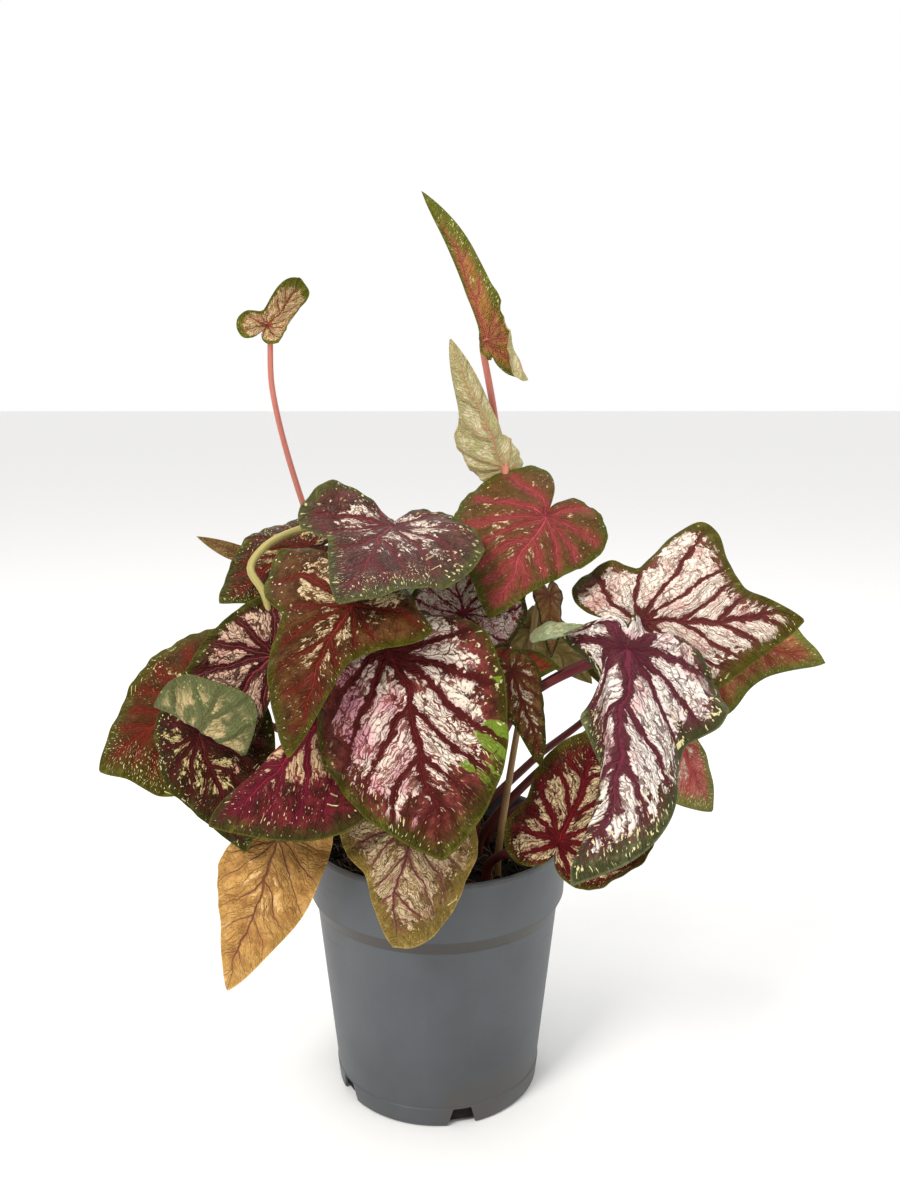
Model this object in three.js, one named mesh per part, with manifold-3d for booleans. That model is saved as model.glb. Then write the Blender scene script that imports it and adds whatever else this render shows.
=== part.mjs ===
import * as THREE from 'three';
import { mergeVertices } from 'three/addons/utils/BufferGeometryUtils.js';
import Module from 'manifold-3d';

// A potted caladium in millimetres, +Z up. The origin is on the pot's axis, where the pot stands.
// -Y is the side that the plant shows best, and +X is to the right when seen from there.

const wasm = await Module();
wasm.setup();

// Driving dimensions of the pot
const potHeight = 121;
const rimRadius = 60;
const rimLip = 2.2;
const collarFootRadius = 58.8;
const collarFootHeight = 94.5;
const wallTopRadius = 56.4;
const wallTopHeight = 88.5;
const baseRadius = 47.2;
const baseStepHeight = 9.5;
const baseStep = 0.5;
const potWall = 1.3;
const potFloor = 2;
const potBevel = 1;
const potSides = 48;

// Drain notches in the pot's bottom edge
const notchCount = 5;
const firstNotchAngle = -77;
const notchBottomWidth = 13.6;
const notchTopWidth = 8.2;
const notchHeight = 9;
const notchInnerRadius = 38;

// Driving dimensions of the soil and of the holes that the stalks stand in
const soilHeight = 108;
const soilBevel = 3;
const soilCrown = 2;
const soilRings = [50, 40, 28, 14];
const soilLump = 1.3;
const soilGap = 0.35;
const soilSides = 28;
const holeFloor = 84;
const holeClearance = 1.0;
const holeSides = 6;

// Driving dimensions that all leaves share
const bladeThickness = 0.7;
const ribHeight = 0.5;
const ribAngles = [0, 35, 68, 105, 140];
const stalkSides = 6;
const stalkTip = 0.9;
const bladeColumns = [0, 8, 20, 35, 51, 68, 86, 105, 123, 140, 154, 168];
const outlineAngles = [0, 15, 35, 60, 90, 120, 145, 165, 180];

// A leaf's own values, where they differ from these.
// at        where the stalk meets the blade
// tip       where the blade's tip is, or only its direction when the leaf gives a length
// face      the direction that the upper side looks to
// left      outline radius over leaf length at outlineAngles from the tip, seen with the tip down
// right     the same for the other side
// notch     outline radius in the notch between the two back lobes
// sweep     how far the midrib bows to the right
// lifts     raised or lowered parts of the margin: angle, spread, height over length
// waves     waves round the margin: count, height over length, starting angle
// bends     rolls of the blade: direction, start, distance and degrees, above 0 to the underside
// rings     radii of the rings of points, over the outline
// foot      where the stalk leaves the soil
// via       points that the stalk passes
// back      how far the stalk comes straight out of the blade's underside
// stalk     radius of the stalk at its foot and under the blade
const commonLeaf = {
  left: [0.82, 0.68, 0.60, 0.56, 0.56, 0.52, 0.36],
  right: [0.82, 0.68, 0.60, 0.56, 0.56, 0.52, 0.36],
  notch: 0.10,
  sweep: 0,
  lifts: [],
  waves: [5, 0.02, 20],
  bends: [[90, 0, 0.6, 20], [-90, 0, 0.6, 20], [0, 0.1, 0.9, 25], [180, 0.1, 0.5, 25]],
  rings: [0.4, 0.75, 1],
  via: [],
  back: 12,
  stalk: [2.3, 1.5],
};

const leaves = {
  front_centre: {
    at: [-17, -68, 223], tip: [2, -94, 148], face: [0.05, -0.92, 0.38],
    left: [0.85, 0.73, 0.54, 0.36, 0.18, 0.12, 0.11],
    right: [0.87, 0.72, 0.57, 0.45, 0.37, 0.31, 0.24],
    bends: [[90, 0.1, 0.5, 25], [-90, 0.12, 0.35, 55], [0, 0.1, 0.9, 20], [180, 0, 0.25, 70]],
    foot: [-5, -20], color: 0x8a3040,
  },
  front_left_long: {
    at: [-33, -73, 244], tip: [-54, -98, 190], face: [-0.25, -0.8, 0.55],
    left: [0.80, 0.60, 0.42, 0.66, 0.68, 0.26, 0.14],
    right: [0.52, 0.38, 0.40, 0.54, 0.52, 0.38, 0.24],
    bends: [[90, 0.1, 0.3, 30], [-90, 0.1, 0.5, 20], [0, 0.1, 0.9, 25], [170, 0.1, 0.2, 65]],
    foot: [-12, -15], via: [[-30, -42, 214], [-20, -26, 160]], color: 0x6b4a2a,
  },
  front_magenta: {
    at: [-40, -60, 206], tip: [-90, -74, 154], face: [-0.1, -0.85, 0.5],
    left: [0.66, 0.42, 0.30, 0.26, 0.24, 0.22, 0.18],
    right: [0.86, 0.75, 0.62, 0.50, 0.38, 0.28, 0.20],
    sweep: 0.09, waves: [5, 0.015, 20],
    bends: [[90, 0, 0.6, 20], [-90, 0.03, 0.08, 80], [0, 0.1, 0.9, 25], [180, 0.1, 0.5, 25]],
    foot: [-18, -20], color: 0x7a2038,
  },
  front_wilted: {
    at: [-13, -66, 151], tip: [-18, -75, 102], face: [0.05, -0.95, 0.2],
    left: [0.72, 0.50, 0.52, 0.56, 0.52, 0.45, 0.30],
    right: [0.95, 0.83, 0.66, 0.60, 0.52, 0.45, 0.30],
    waves: [6, 0.05, 20], foot: [-8, -33], via: [[-11, -50, 138]], back: 8,
    stalk: [1.8, 1.3], color: 0xb08a6a,
  },
  front_yellow: {
    at: [-66, -46, 136], tip: [-88, -60, 75], face: [-0.2, -0.95, 0.2],
    left: [0.69, 0.52, 0.35, 0.30, 0.30, 0.30, 0.20],
    right: [0.71, 0.52, 0.38, 0.33, 0.34, 0.36, 0.25],
    waves: [6, 0.04, 60], foot: [-28, -18], via: [[-46, -30, 134]], back: 8,
    stalk: [1.8, 1.3], color: 0xc09a50,
  },
  crown_top: {
    at: [-19, -28, 266], tip: [-36, -91, 246], face: [-0.1, -0.45, 0.9],
    left: [0.66, 0.46, 0.50, 0.58, 0.47, 0.27, 0.17],
    right: [0.90, 0.84, 0.70, 0.58, 0.46, 0.38, 0.28],
    lifts: [[-112, 28, 0.20], [-26, 22, 0.09]],
    bends: [[90, 0.3, 0.3, 40], [0, 0.1, 0.9, 15], [180, 0.1, 0.4, 5]],
    foot: [-6, -6], via: [[-12, -8, 200]], color: 0x6a3044,
  },
  crown_red: {
    at: [46, -12, 268], tip: [21, -47, 231], face: [-0.1, -0.8, 0.6],
    left: [0.82, 0.72, 0.69, 0.68, 0.69, 0.64, 0.50],
    right: [0.73, 0.58, 0.52, 0.51, 0.46, 0.40, 0.32],
    waves: [4, 0.015, 0],
    bends: [[90, 0, 0.6, 20], [-90, 0, 0.6, 20], [0, 0.1, 0.9, 25], [180, 0.1, 0.5, 5]],
    foot: [10, -6], via: [[30, -6, 206]], color: 0x8c3430,
  },
  crown_mid: {
    at: [12, -34, 229], tip: [4, -16, 256], face: [0, -0.8, 0.6],
    left: [0.85, 0.78, 0.80, 0.85, 0.70, 0.57, 0.45],
    right: [0.85, 0.74, 0.80, 0.85, 0.74, 0.55, 0.40],
    foot: [4, -14], via: [[10, -22, 195]], back: 8, color: 0x8a4a50,
  },
  right_big: {
    at: [85, -38, 228], tip: [150, -44, 229], face: [0.05, -0.8, 0.6],
    left: [0.80, 0.67, 0.60, 0.55, 0.50, 0.45, 0.30],
    right: [0.71, 0.71, 0.84, 0.42, 0.52, 0.55, 0.38], waves: [7, 0.03, 40],
    bends: [[90, 0, 0.6, 15], [-90, 0.1, 0.5, 40], [0, 0.1, 0.9, 25], [180, 0.1, 0.5, 15]],
    foot: [16, -9], via: [[35, -24, 188]], color: 0xb08078,
  },
  right_behind: {
    at: [110, -4, 214], tip: [173, -8, 202], face: [0.05, -0.7, 0.7],
    left: [0.68, 0.58, 0.64, 0.64, 0.55, 0.45, 0.30],
    foot: [20, -1], via: [[50, -2, 153], [86, -4, 182]], color: 0x7a4038,
  },
  right_hanging: {
    at: [72, -70, 225], tip: [49, -106, 143], face: [0.15, -0.9, 0.4],
    left: [0.62, 0.42, 0.30, 0.26, 0.40, 0.30, 0.22],
    right: [0.78, 0.46, 0.45, 0.46, 0.32, 0.24, 0.18],
    sweep: 0.09, lifts: [[-116, 18, 0.28]], waves: [7, 0.05, 0],
    bends: [[90, 0.1, 0.5, 20], [-90, 0.03, 0.06, 85], [0, 0.1, 0.9, 15], [170, 0.06, 0.12, 80]],
    foot: [14, -17], via: [[35, -33, 190]], color: 0x9a5a62,
  },
  right_low: {
    at: [49, -66, 143], tip: [68, -48, 185], face: [-0.1, -0.85, 0.5],
    left: [0.88, 0.80, 0.80, 0.80, 0.52, 0.34, 0.22],
    right: [0.86, 0.66, 0.44, 0.46, 0.44, 0.34, 0.22],
    bends: [[90, 0.1, 0.4, 15], [-120, 0.34, 0.2, -80]],
    foot: [22, -30], via: [[36, -46, 132]], back: 8, color: 0x8a4a40,
  },
  right_back: {
    at: [101, 5, 172], tip: [129, 5, 127], face: [0.3, -0.85, 0.4],
    left: [0.82, 0.64, 0.50, 0.42, 0.40, 0.36, 0.26],
    right: [0.68, 0.40, 0.32, 0.32, 0.34, 0.34, 0.26],
    foot: [25, 8], via: [[64, 15, 140]], color: 0x8a3438,
  },
  left_folded: {
    at: [-67, -46, 216], tip: [-111, -52, 164], length: 70, face: [0, -0.95, 0.3],
    left: [0.95, 0.58, 0.42, 0.34, 0.34, 0.36, 0.26],
    right: [0.98, 0.31, 0.20, 0.20, 0.22, 0.24, 0.20],
    waves: [3, 0.02, 20], bends: [[9, 0.55, 0.12, -160]],
    rings: [0.35, 0.55, 0.7, 0.85, 1], foot: [-20, -9],
    via: [[-34, -14, 246], [-41, -15, 261], [-50, -17, 265], [-60, -19, 263], [-71, -29, 258],
      [-76, -37, 250], [-70, -41, 240]],
    back: 6, color: 0x6a5a3a,
  },
  left_far: {
    at: [-102, -11, 191], tip: [-149, -20, 157], face: [-0.2, -0.8, 0.55],
    left: [0.80, 0.66, 0.58, 0.58, 0.56, 0.50, 0.34],
    right: [0.85, 0.84, 0.69, 0.44, 0.32, 0.28, 0.22],
    foot: [-25, 3], via: [[-62, -4, 165]], color: 0x7a3a30,
  },
  left_low: {
    at: [-98, -39, 180], tip: [-79, -54, 134], face: [-0.2, -0.85, 0.4],
    left: [0.74, 0.58, 0.50, 0.45, 0.45, 0.42, 0.30],
    foot: [-27, -6], via: [[-62, -28, 146]], back: 6, color: 0x5a2a24,
  },
  left_upper: {
    at: [-54, -12, 254], tip: [-90, -34, 235], face: [-0.3, -0.7, 0.6],
    left: [0.84, 0.72, 0.66, 0.64, 0.60, 0.50, 0.34],
    right: [0.82, 0.68, 0.58, 0.46, 0.28, 0.20, 0.15],
    foot: [-14, 1], via: [[-34, 0, 200]], back: 8, color: 0x5a3020,
  },
  left_dry_tip: {
    at: [-66, 8, 238], tip: [-106, 2, 258], face: [-0.2, -0.7, 0.7],
    left: [0.45, 0.30, 0.26, 0.24, 0.24, 0.22, 0.2],
    right: [0.45, 0.30, 0.26, 0.24, 0.24, 0.22, 0.2],
    bends: [[90, 0, 0.2, -40], [-90, 0, 0.2, -40]], rings: [0.5, 1],
    foot: [-20, 9], via: [[-46, 8, 190]], back: 5, stalk: [1.8, 1.2], color: 0x9a6a4a,
  },
  inner_mottled: {
    at: [31, -50, 208], tip: [42, -58, 172], face: [0.4, -0.85, 0.3],
    left: [0.6, 0.42, 0.34, 0.32, 0.32, 0.3, 0.25],
    right: [0.6, 0.42, 0.34, 0.32, 0.32, 0.3, 0.25],
    rings: [0.5, 1], foot: [10, -24], via: [[22, -38, 180]], back: 6, color: 0x6a4a30,
  },
  inner_olive: {
    at: [43, 1, 216], tip: [71, 5, 189], face: [0.2, 0.9, 0.3],
    left: [0.7, 0.46, 0.38, 0.36, 0.36, 0.3, 0.2],
    right: [0.7, 0.46, 0.38, 0.36, 0.36, 0.3, 0.2],
    rings: [0.5, 1], foot: [14, 4], via: [[32, 4, 180]], back: 6, color: 0x9a8040,
  },
  inner_dull: {
    at: [24, -18, 203], tip: [52, -29, 206], face: [0, -0.7, 0.7],
    left: [0.75, 0.5, 0.4, 0.38, 0.38, 0.36, 0.25],
    right: [0.75, 0.5, 0.4, 0.38, 0.38, 0.36, 0.25],
    rings: [0.5, 1], foot: [5, 4], via: [[14, -4, 180]], back: 8, color: 0x7a3028,
  },
  inner_narrow: {
    at: [48, -17, 235], tip: [49, -22, 208], face: [0.5, -0.8, 0.2],
    left: [0.6, 0.38, 0.30, 0.28, 0.28, 0.26, 0.2],
    right: [0.6, 0.38, 0.30, 0.28, 0.28, 0.26, 0.2],
    rings: [0.5, 1], foot: [27, -22], via: [[33, -19, 160], [40, -13, 200]], back: 6,
    stalk: [1.8, 1.2], color: 0x6a5a30,
  },
  tall_twisted: {
    at: [22, 16, 342], tip: [-6, 8, 404], face: [0.1, -0.9, 0.2],
    left: [0.45, 0.26, 0.22, 0.22, 0.32, 0.38, 0.28],
    right: [0.20, 0.07, 0.05, 0.05, 0.06, 0.09, 0.12], sweep: -0.06,
    bends: [[90, 0.02, 0.1, -60], [-90, 0.11, 0.1, -150], [180, 0.1, 0.3, 20]],
    foot: [4, 16], via: [[20, 18, 200], [28, 30, 296]], back: 6, color: 0x8a6a44,
  },
  tall_rolled: {
    at: [31, 23, 286], tip: [6, 14, 344], face: [-0.2, 0.95, 0.2],
    left: [0.54, 0.43, 0.30, 0.20, 0.16, 0.14, 0.12],
    right: [0.34, 0.24, 0.20, 0.18, 0.17, 0.15, 0.12],
    waves: [3, 0.01, 20], bends: [[90, 0.03, 0.12, -60], [-90, 0.10, 0.15, -60]],
    foot: [10, 8], via: [[24, 12, 200]], back: 3, color: 0xa8a880,
  },
  tall_small: {
    at: [-72, 0, 348], tip: [-57, 0, 368], face: [-0.2, -0.85, 0.4],
    left: [0.92, 0.68, 0.58, 0.50, 0.38, 0.28, 0.18],
    right: [0.86, 0.40, 0.28, 0.44, 0.52, 0.46, 0.36],
    bends: [[60, 0.10, 0.22, -50], [-80, 0.16, 0.35, -65]],
    foot: [-8, 10], via: [[-34, 20, 200], [-61, 16, 273], [-71, 5, 322]], back: 4,
    stalk: [1.8, 1.2], color: 0x9a5a40,
  },
  back_left: {
    at: [-52, 56, 222], tip: [-90, 92, 188], face: [-0.35, 0.45, 0.8],
    rings: [0.5, 1], foot: [-15, 16], color: 0x6a3a30,
  },
  back_mid: {
    at: [5, 58, 240], tip: [2, 108, 202], face: [0, 0.5, 0.86],
    rings: [0.5, 1], foot: [-2, 22], color: 0x7a3a38,
  },
  back_right: {
    at: [92, 52, 198], tip: [126, 82, 162], face: [0.35, 0.45, 0.8],
    rings: [0.5, 1], foot: [17, 17], via: [[46, 32, 142], [80, 46, 166]], color: 0x7a4a34,
  },
  back_low: {
    at: [-10, 62, 180], tip: [-18, 98, 130], face: [-0.1, 0.8, 0.6],
    rings: [0.5, 1], foot: [-8, 30], color: 0x6a3030,
  },
};

// Small helpers

function radians(degrees) {
  return degrees * Math.PI / 180;
}

function vector(list) {
  return new THREE.Vector3(...list);
}

function toSolid(geometry) {
  geometry.deleteAttribute('normal');
  geometry.deleteAttribute('uv');
  const merged = mergeVertices(geometry, 1e-4);
  return new wasm.Manifold(new wasm.Mesh({
    numProp: 3,
    vertProperties: new Float32Array(merged.attributes.position.array),
    triVerts: new Uint32Array(merged.index.array),
  }));
}

function toGeometry(solid) {
  const mesh = solid.getMesh();
  const geometry = new THREE.BufferGeometry();
  geometry.setAttribute('position', new THREE.BufferAttribute(new Float32Array(mesh.vertProperties), 3));
  geometry.setIndex(new THREE.BufferAttribute(new Uint32Array(mesh.triVerts), 1));
  geometry.computeVertexNormals();
  return geometry;
}

function namedMesh(name, geometry, color, roughness) {
  const material = new THREE.MeshStandardMaterial({ color, roughness, metalness: 0 });
  const mesh = new THREE.Mesh(geometry, material);
  mesh.name = name;
  return mesh;
}

// A turned solid with its axis on Z, from a profile of radius and height that starts and ends on the axis
function turned(profile, sides) {
  const geometry = new THREE.LatheGeometry(profile.map(([r, z]) => new THREE.Vector2(r, z)), sides);
  return geometry.rotateX(Math.PI / 2);
}

// Pot

function potSolid() {
  const wallSlope = (wallTopRadius - baseRadius) / wallTopHeight;
  const stepRadius = baseRadius + wallSlope * baseStepHeight;
  let pot = toSolid(turned([
    [0, 0],
    [baseRadius - potBevel, 0],
    [baseRadius, potBevel],
    [stepRadius, baseStepHeight - baseStep],
    [stepRadius - baseStep, baseStepHeight],
    [wallTopRadius - baseStep, wallTopHeight],
    [collarFootRadius, collarFootHeight],
    [rimRadius, potHeight - potBevel],
    [rimRadius - potBevel / 2, potHeight],
    [rimRadius - rimLip + potBevel / 2, potHeight],
    [rimRadius - rimLip, potHeight - potBevel],
    [collarFootRadius - potWall, collarFootHeight + potBevel],
    [wallTopRadius - baseStep - potWall, wallTopHeight],
    [baseRadius - potWall, potFloor],
    [0, potFloor],
  ], potSides));
  for (let i = 0; i < notchCount; i += 1) {
    pot = pot.subtract(notchCutter(firstNotchAngle + 360 / notchCount * i));
  }
  return pot;
}

function notchCutter(angle) {
  const below = 1;
  const half = notchBottomWidth / 2 + below * (notchBottomWidth - notchTopWidth) / 2 / notchHeight;
  const outline = new THREE.Shape([
    new THREE.Vector2(-half, -below),
    new THREE.Vector2(half, -below),
    new THREE.Vector2(notchTopWidth / 2, notchHeight),
    new THREE.Vector2(-notchTopWidth / 2, notchHeight),
  ]);
  const depth = baseRadius + 5 - notchInnerRadius;
  const geometry = new THREE.ExtrudeGeometry(outline, { depth, bevelEnabled: false });
  geometry.rotateX(Math.PI / 2).rotateZ(Math.PI).translate(0, notchInnerRadius, 0);
  return toSolid(geometry.rotateZ(radians(angle - 90)));
}

// Soil

// The soil's top is a little higher at the middle than near the pot's wall
function soilSurface(radius) {
  return soilHeight + soilCrown * (0.5 - (radius / soilRings[0]) ** 2);
}

function soilLumps(x, y) {
  return soilLump * (Math.sin(x * 0.31 + 1) * Math.cos(y * 0.27) + 0.7 * Math.sin(x * 0.13 - y * 0.35));
}

function soilSolid() {
  const floor = potFloor + soilGap;
  const wall = potWall + soilGap;
  const geometry = turned([
    [0, floor],
    [baseRadius - wall, floor],
    [wallTopRadius - baseStep - wall, wallTopHeight],
    [collarFootRadius - wall, collarFootHeight + potBevel],
    [collarFootRadius - wall, soilHeight - soilBevel],
    ...soilRings.map((radius) => [radius, soilSurface(radius)]),
    [0, soilSurface(0)],
  ], soilSides);
  const points = geometry.attributes.position;
  for (let i = 0; i < points.count; i += 1) {
    const onTop = points.getZ(i) > soilHeight - soilBevel / 2;
    if (onTop) points.setZ(i, points.getZ(i) + soilLumps(points.getX(i), points.getY(i)));
  }
  let soil = toSolid(geometry);
  for (const leaf of Object.values(leaves)) {
    soil = soil.subtract(stalkHole({ ...commonLeaf, ...leaf }));
  }
  return soil;
}

function stalkHole(leaf) {
  const depth = soilHeight + 10 - holeFloor;
  const hole = new THREE.CylinderGeometry(
    leaf.stalk[0] + holeClearance, leaf.stalk[0] + holeClearance, depth, holeSides);
  hole.rotateX(Math.PI / 2).translate(leaf.foot[0], leaf.foot[1], holeFloor + depth / 2);
  return toSolid(hole);
}

// Leaf blade

// Smooth curve through values given at rising stations
function smoothThrough(stations, values, at) {
  let i = 0;
  while (i < stations.length - 2 && at > stations[i + 1]) i += 1;
  const slope = (a, b) => (values[b] - values[a]) / (stations[b] - stations[a]);
  const span = stations[i + 1] - stations[i];
  const startSlope = i > 0 ? slope(i - 1, i + 1) : slope(0, 1);
  const endSlope = i < stations.length - 2 ? slope(i, i + 2) : slope(i, i + 1);
  const t = (at - stations[i]) / span;
  const keep = (1 + 2 * t) * (1 - t) ** 2;
  return keep * values[i] + (1 - keep) * values[i + 1]
    + span * t * (1 - t) * ((1 - t) * startSlope - t * endSlope);
}

function outlineRadius(leaf, angle) {
  const side = angle >= 0 ? leaf.right : leaf.left;
  return smoothThrough(outlineAngles, [1, ...side, leaf.notch], Math.abs(angle));
}

// Rolls what lies beyond a line across the blade round a cylinder
function bend(point, [direction, start, distance, degrees]) {
  const turn = radians(degrees);
  const cos = Math.cos(radians(direction));
  const sin = Math.sin(radians(direction));
  const past = point.x * cos + point.y * sin - start;
  if (past <= 0) return;
  const beside = point.y * cos - point.x * sin;
  const angle = Math.min(past / distance, 1) * turn;
  const straight = Math.max(past - distance, 0);
  const radius = distance / turn;
  const reach = start + (radius + point.z) * Math.sin(angle) + straight * Math.cos(angle);
  const height = (radius + point.z) * Math.cos(angle) - radius - straight * Math.sin(angle);
  point.set(reach * cos - beside * sin, reach * sin + beside * cos, height);
}

// A point of the blade's middle surface over leaf length: x to the tip, y to the right, z to the upper side
function bladePoint(leaf, share, angle) {
  const radius = share * outlineRadius(leaf, angle);
  const point = new THREE.Vector3(radius * Math.cos(radians(angle)), radius * Math.sin(radians(angle)), 0);
  const [count, height, start] = leaf.waves;
  point.z = height * share ** 3 * Math.sin(radians(count * angle + start));
  for (const [middle, spread, lift] of leaf.lifts) {
    point.z += lift * share ** 2 * Math.exp(-(((angle - middle) / spread) ** 2));
  }
  for (const roll of leaf.bends) bend(point, roll);
  const along = THREE.MathUtils.clamp(point.x, 0, 1);
  point.y += leaf.sweep * 4 * along * (1 - along);
  return point;
}

// The matrix that puts a blade from its own frame, in leaf lengths, into its place
function bladePlace(leaf) {
  const at = vector(leaf.at);
  const toTip = vector(leaf.tip).sub(at);
  const ownTip = leaf.length ? new THREE.Vector3(1, 0, 0) : bladePoint(leaf, 1, 0);
  const scale = leaf.length ?? toTip.length() / ownTip.length();
  const own = squareFrame(ownTip, new THREE.Vector3(0, 0, 1));
  const place = squareFrame(toTip, vector(leaf.face));
  return new THREE.Matrix4().makeTranslation(at)
    .multiply(place)
    .multiply(own.transpose())
    .multiply(new THREE.Matrix4().makeScale(scale, scale, scale));
}

function squareFrame(forward, upward) {
  const x = forward.clone().normalize();
  const z = upward.clone().addScaledVector(x, -upward.dot(x)).normalize();
  return new THREE.Matrix4().makeBasis(x, z.clone().cross(x), z);
}

// Blade of even thickness, with ribs raised on the underside along the main veins.
// Both faces are split into the same triangles.
function bladeGeometry(leaf, place) {
  const angles = [...bladeColumns, 180, ...bladeColumns.slice(1).reverse().map((a) => -a)];
  const innerAngles = angles.filter((angle, column) => column % 2 === 0);
  const middle = [new THREE.Vector3()];
  const ribs = [ribHeight];
  for (const share of leaf.rings) {
    for (const angle of share === leaf.rings[0] ? innerAngles : angles) {
      middle.push(bladePoint(leaf, share, angle).applyMatrix4(place));
      ribs.push(ribAngles.includes(Math.abs(angle)) ? ribHeight * (1 - share) : 0);
    }
  }
  middle[0].copy(bladePoint(leaf, 0, 0)).applyMatrix4(place);
  const faces = bladeFaces(angles.length, leaf.rings.length);
  const normals = vertexNormals(middle, faces);
  const upper = middle.map((p, i) => p.clone().addScaledVector(normals[i], bladeThickness / 2));
  const lower = middle.map((p, i) => p.clone().addScaledVector(normals[i], -bladeThickness / 2 - ribs[i]));
  const count = middle.length;
  const index = [...faces];
  for (let i = 0; i < faces.length; i += 3) {
    index.push(faces[i] + count, faces[i + 2] + count, faces[i + 1] + count);
  }
  const rim = count - angles.length;
  for (let j = 0; j < angles.length; j += 1) {
    const a = rim + j;
    const b = rim + (j + 1) % angles.length;
    index.push(a, a + count, b, b, a + count, b + count);
  }
  const geometry = new THREE.BufferGeometry().setFromPoints([...upper, ...lower]);
  geometry.setIndex(index);
  return geometry;
}

// Triangles of a disc of rings round one middle point, turning anticlockwise seen from the upper side.
// The inner ring has half as many points as the others.
function bladeFaces(columns, rings) {
  const half = columns / 2;
  const inner = (column) => 1 + column % half;
  const outer = (ring, column) => 1 + half + (ring - 1) * columns + column % columns;
  const faces = [];
  for (let j = 0; j < half; j += 1) {
    faces.push(0, inner(j), inner(j + 1));
    faces.push(inner(j), outer(1, 2 * j), outer(1, 2 * j + 1));
    faces.push(inner(j), outer(1, 2 * j + 1), inner(j + 1));
    faces.push(inner(j + 1), outer(1, 2 * j + 1), outer(1, 2 * j + 2));
  }
  for (let i = 1; i < rings - 1; i += 1) {
    for (let j = 0; j < columns; j += 1) {
      faces.push(outer(i, j), outer(i + 1, j), outer(i + 1, j + 1));
      faces.push(outer(i, j), outer(i + 1, j + 1), outer(i, j + 1));
    }
  }
  return faces;
}

function vertexNormals(points, faces) {
  const geometry = new THREE.BufferGeometry().setFromPoints(points);
  geometry.setIndex(faces);
  geometry.computeVertexNormals();
  const normals = geometry.attributes.normal;
  return points.map((p, i) => new THREE.Vector3().fromBufferAttribute(normals, i));
}

// Leaf stalk

function stalkCurve(leaf, place) {
  const at = vector(leaf.at);
  const origin = new THREE.Vector3().applyMatrix4(place);
  const up = new THREE.Vector3(0, 0, 1).applyMatrix4(place).sub(origin).normalize();
  const [x, y] = leaf.foot;
  const top = soilHeight + 8;
  const route = leaf.via.length > 0
    ? leaf.via.map(vector)
    : [new THREE.Vector3(x, y, top).lerp(at, 0.4).add(new THREE.Vector3(0, 0, (at.z - top) * 0.2))];
  return new THREE.CatmullRomCurve3([
    new THREE.Vector3(x, y, holeFloor + 1),
    new THREE.Vector3(x, y, soilHeight - 6),
    new THREE.Vector3(x, y, top),
    ...route,
    at.clone().addScaledVector(up, -leaf.back),
    at.clone().addScaledVector(up, stalkTip),
  ], false, 'centripetal');
}

// A tube along a curve whose radius changes evenly from foot to top
function stalkGeometry(leaf, place) {
  const curve = stalkCurve(leaf, place);
  const steps = 10 + 2 * leaf.via.length;
  const frames = curve.computeFrenetFrames(steps, false);
  const points = [];
  for (let i = 0; i <= steps; i += 1) {
    const centre = curve.getPointAt(i / steps);
    const radius = THREE.MathUtils.lerp(leaf.stalk[0], leaf.stalk[1], i / steps);
    for (let j = 0; j < stalkSides; j += 1) {
      const angle = radians(360 / stalkSides * j);
      points.push(centre.clone()
        .addScaledVector(frames.normals[i], radius * Math.cos(angle))
        .addScaledVector(frames.binormals[i], radius * Math.sin(angle)));
    }
  }
  const index = [];
  for (let i = 0; i < steps; i += 1) {
    for (let j = 0; j < stalkSides; j += 1) {
      const a = i * stalkSides + j;
      const b = i * stalkSides + (j + 1) % stalkSides;
      index.push(a, b, a + stalkSides, b, b + stalkSides, a + stalkSides);
    }
  }
  const last = steps * stalkSides;
  for (let j = 1; j < stalkSides - 1; j += 1) {
    index.push(0, j + 1, j, last, last + j, last + j + 1);
  }
  const geometry = new THREE.BufferGeometry().setFromPoints(points);
  geometry.setIndex(index);
  return geometry;
}

function leafSolid(ownValues) {
  const leaf = { ...commonLeaf, ...ownValues };
  const place = bladePlace(leaf);
  const blade = toSolid(bladeGeometry(leaf, place));
  return blade.add(toSolid(stalkGeometry(leaf, place)));
}

// The whole plant

const plant = new THREE.Group();
plant.add(namedMesh('pot', toGeometry(potSolid()), 0x70808c, 0.55));
plant.add(namedMesh('soil', toGeometry(soilSolid()), 0x1c1512, 0.95));
for (const [name, leaf] of Object.entries(leaves)) {
  plant.add(namedMesh(name, toGeometry(leafSolid(leaf)), leaf.color, 0.45));
}

export default plant;
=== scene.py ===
import math

import bpy
import numpy as np
from mathutils import Matrix, Vector, noise


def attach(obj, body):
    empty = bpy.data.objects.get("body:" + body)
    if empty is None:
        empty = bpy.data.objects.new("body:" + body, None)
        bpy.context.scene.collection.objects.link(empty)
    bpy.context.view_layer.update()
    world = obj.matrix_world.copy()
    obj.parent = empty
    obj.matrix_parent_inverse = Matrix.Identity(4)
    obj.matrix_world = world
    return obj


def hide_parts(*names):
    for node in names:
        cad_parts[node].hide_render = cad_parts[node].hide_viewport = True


# A potted caladium. The CAD model is the frame, and each of its nodes gets a finer piece with its finish.
# Shapes below are in millimetres, as in the part's own source, and become metres as the meshes are made.

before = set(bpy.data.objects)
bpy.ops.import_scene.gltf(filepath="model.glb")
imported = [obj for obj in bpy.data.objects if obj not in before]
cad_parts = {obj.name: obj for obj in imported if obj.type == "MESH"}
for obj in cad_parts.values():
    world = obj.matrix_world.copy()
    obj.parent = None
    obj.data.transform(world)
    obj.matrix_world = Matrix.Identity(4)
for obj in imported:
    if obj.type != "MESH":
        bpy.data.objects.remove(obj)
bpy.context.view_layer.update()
mm = 0.001


# Shader maths as Python: a Wire is a socket, and an expression on wires adds the nodes for it

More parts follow.
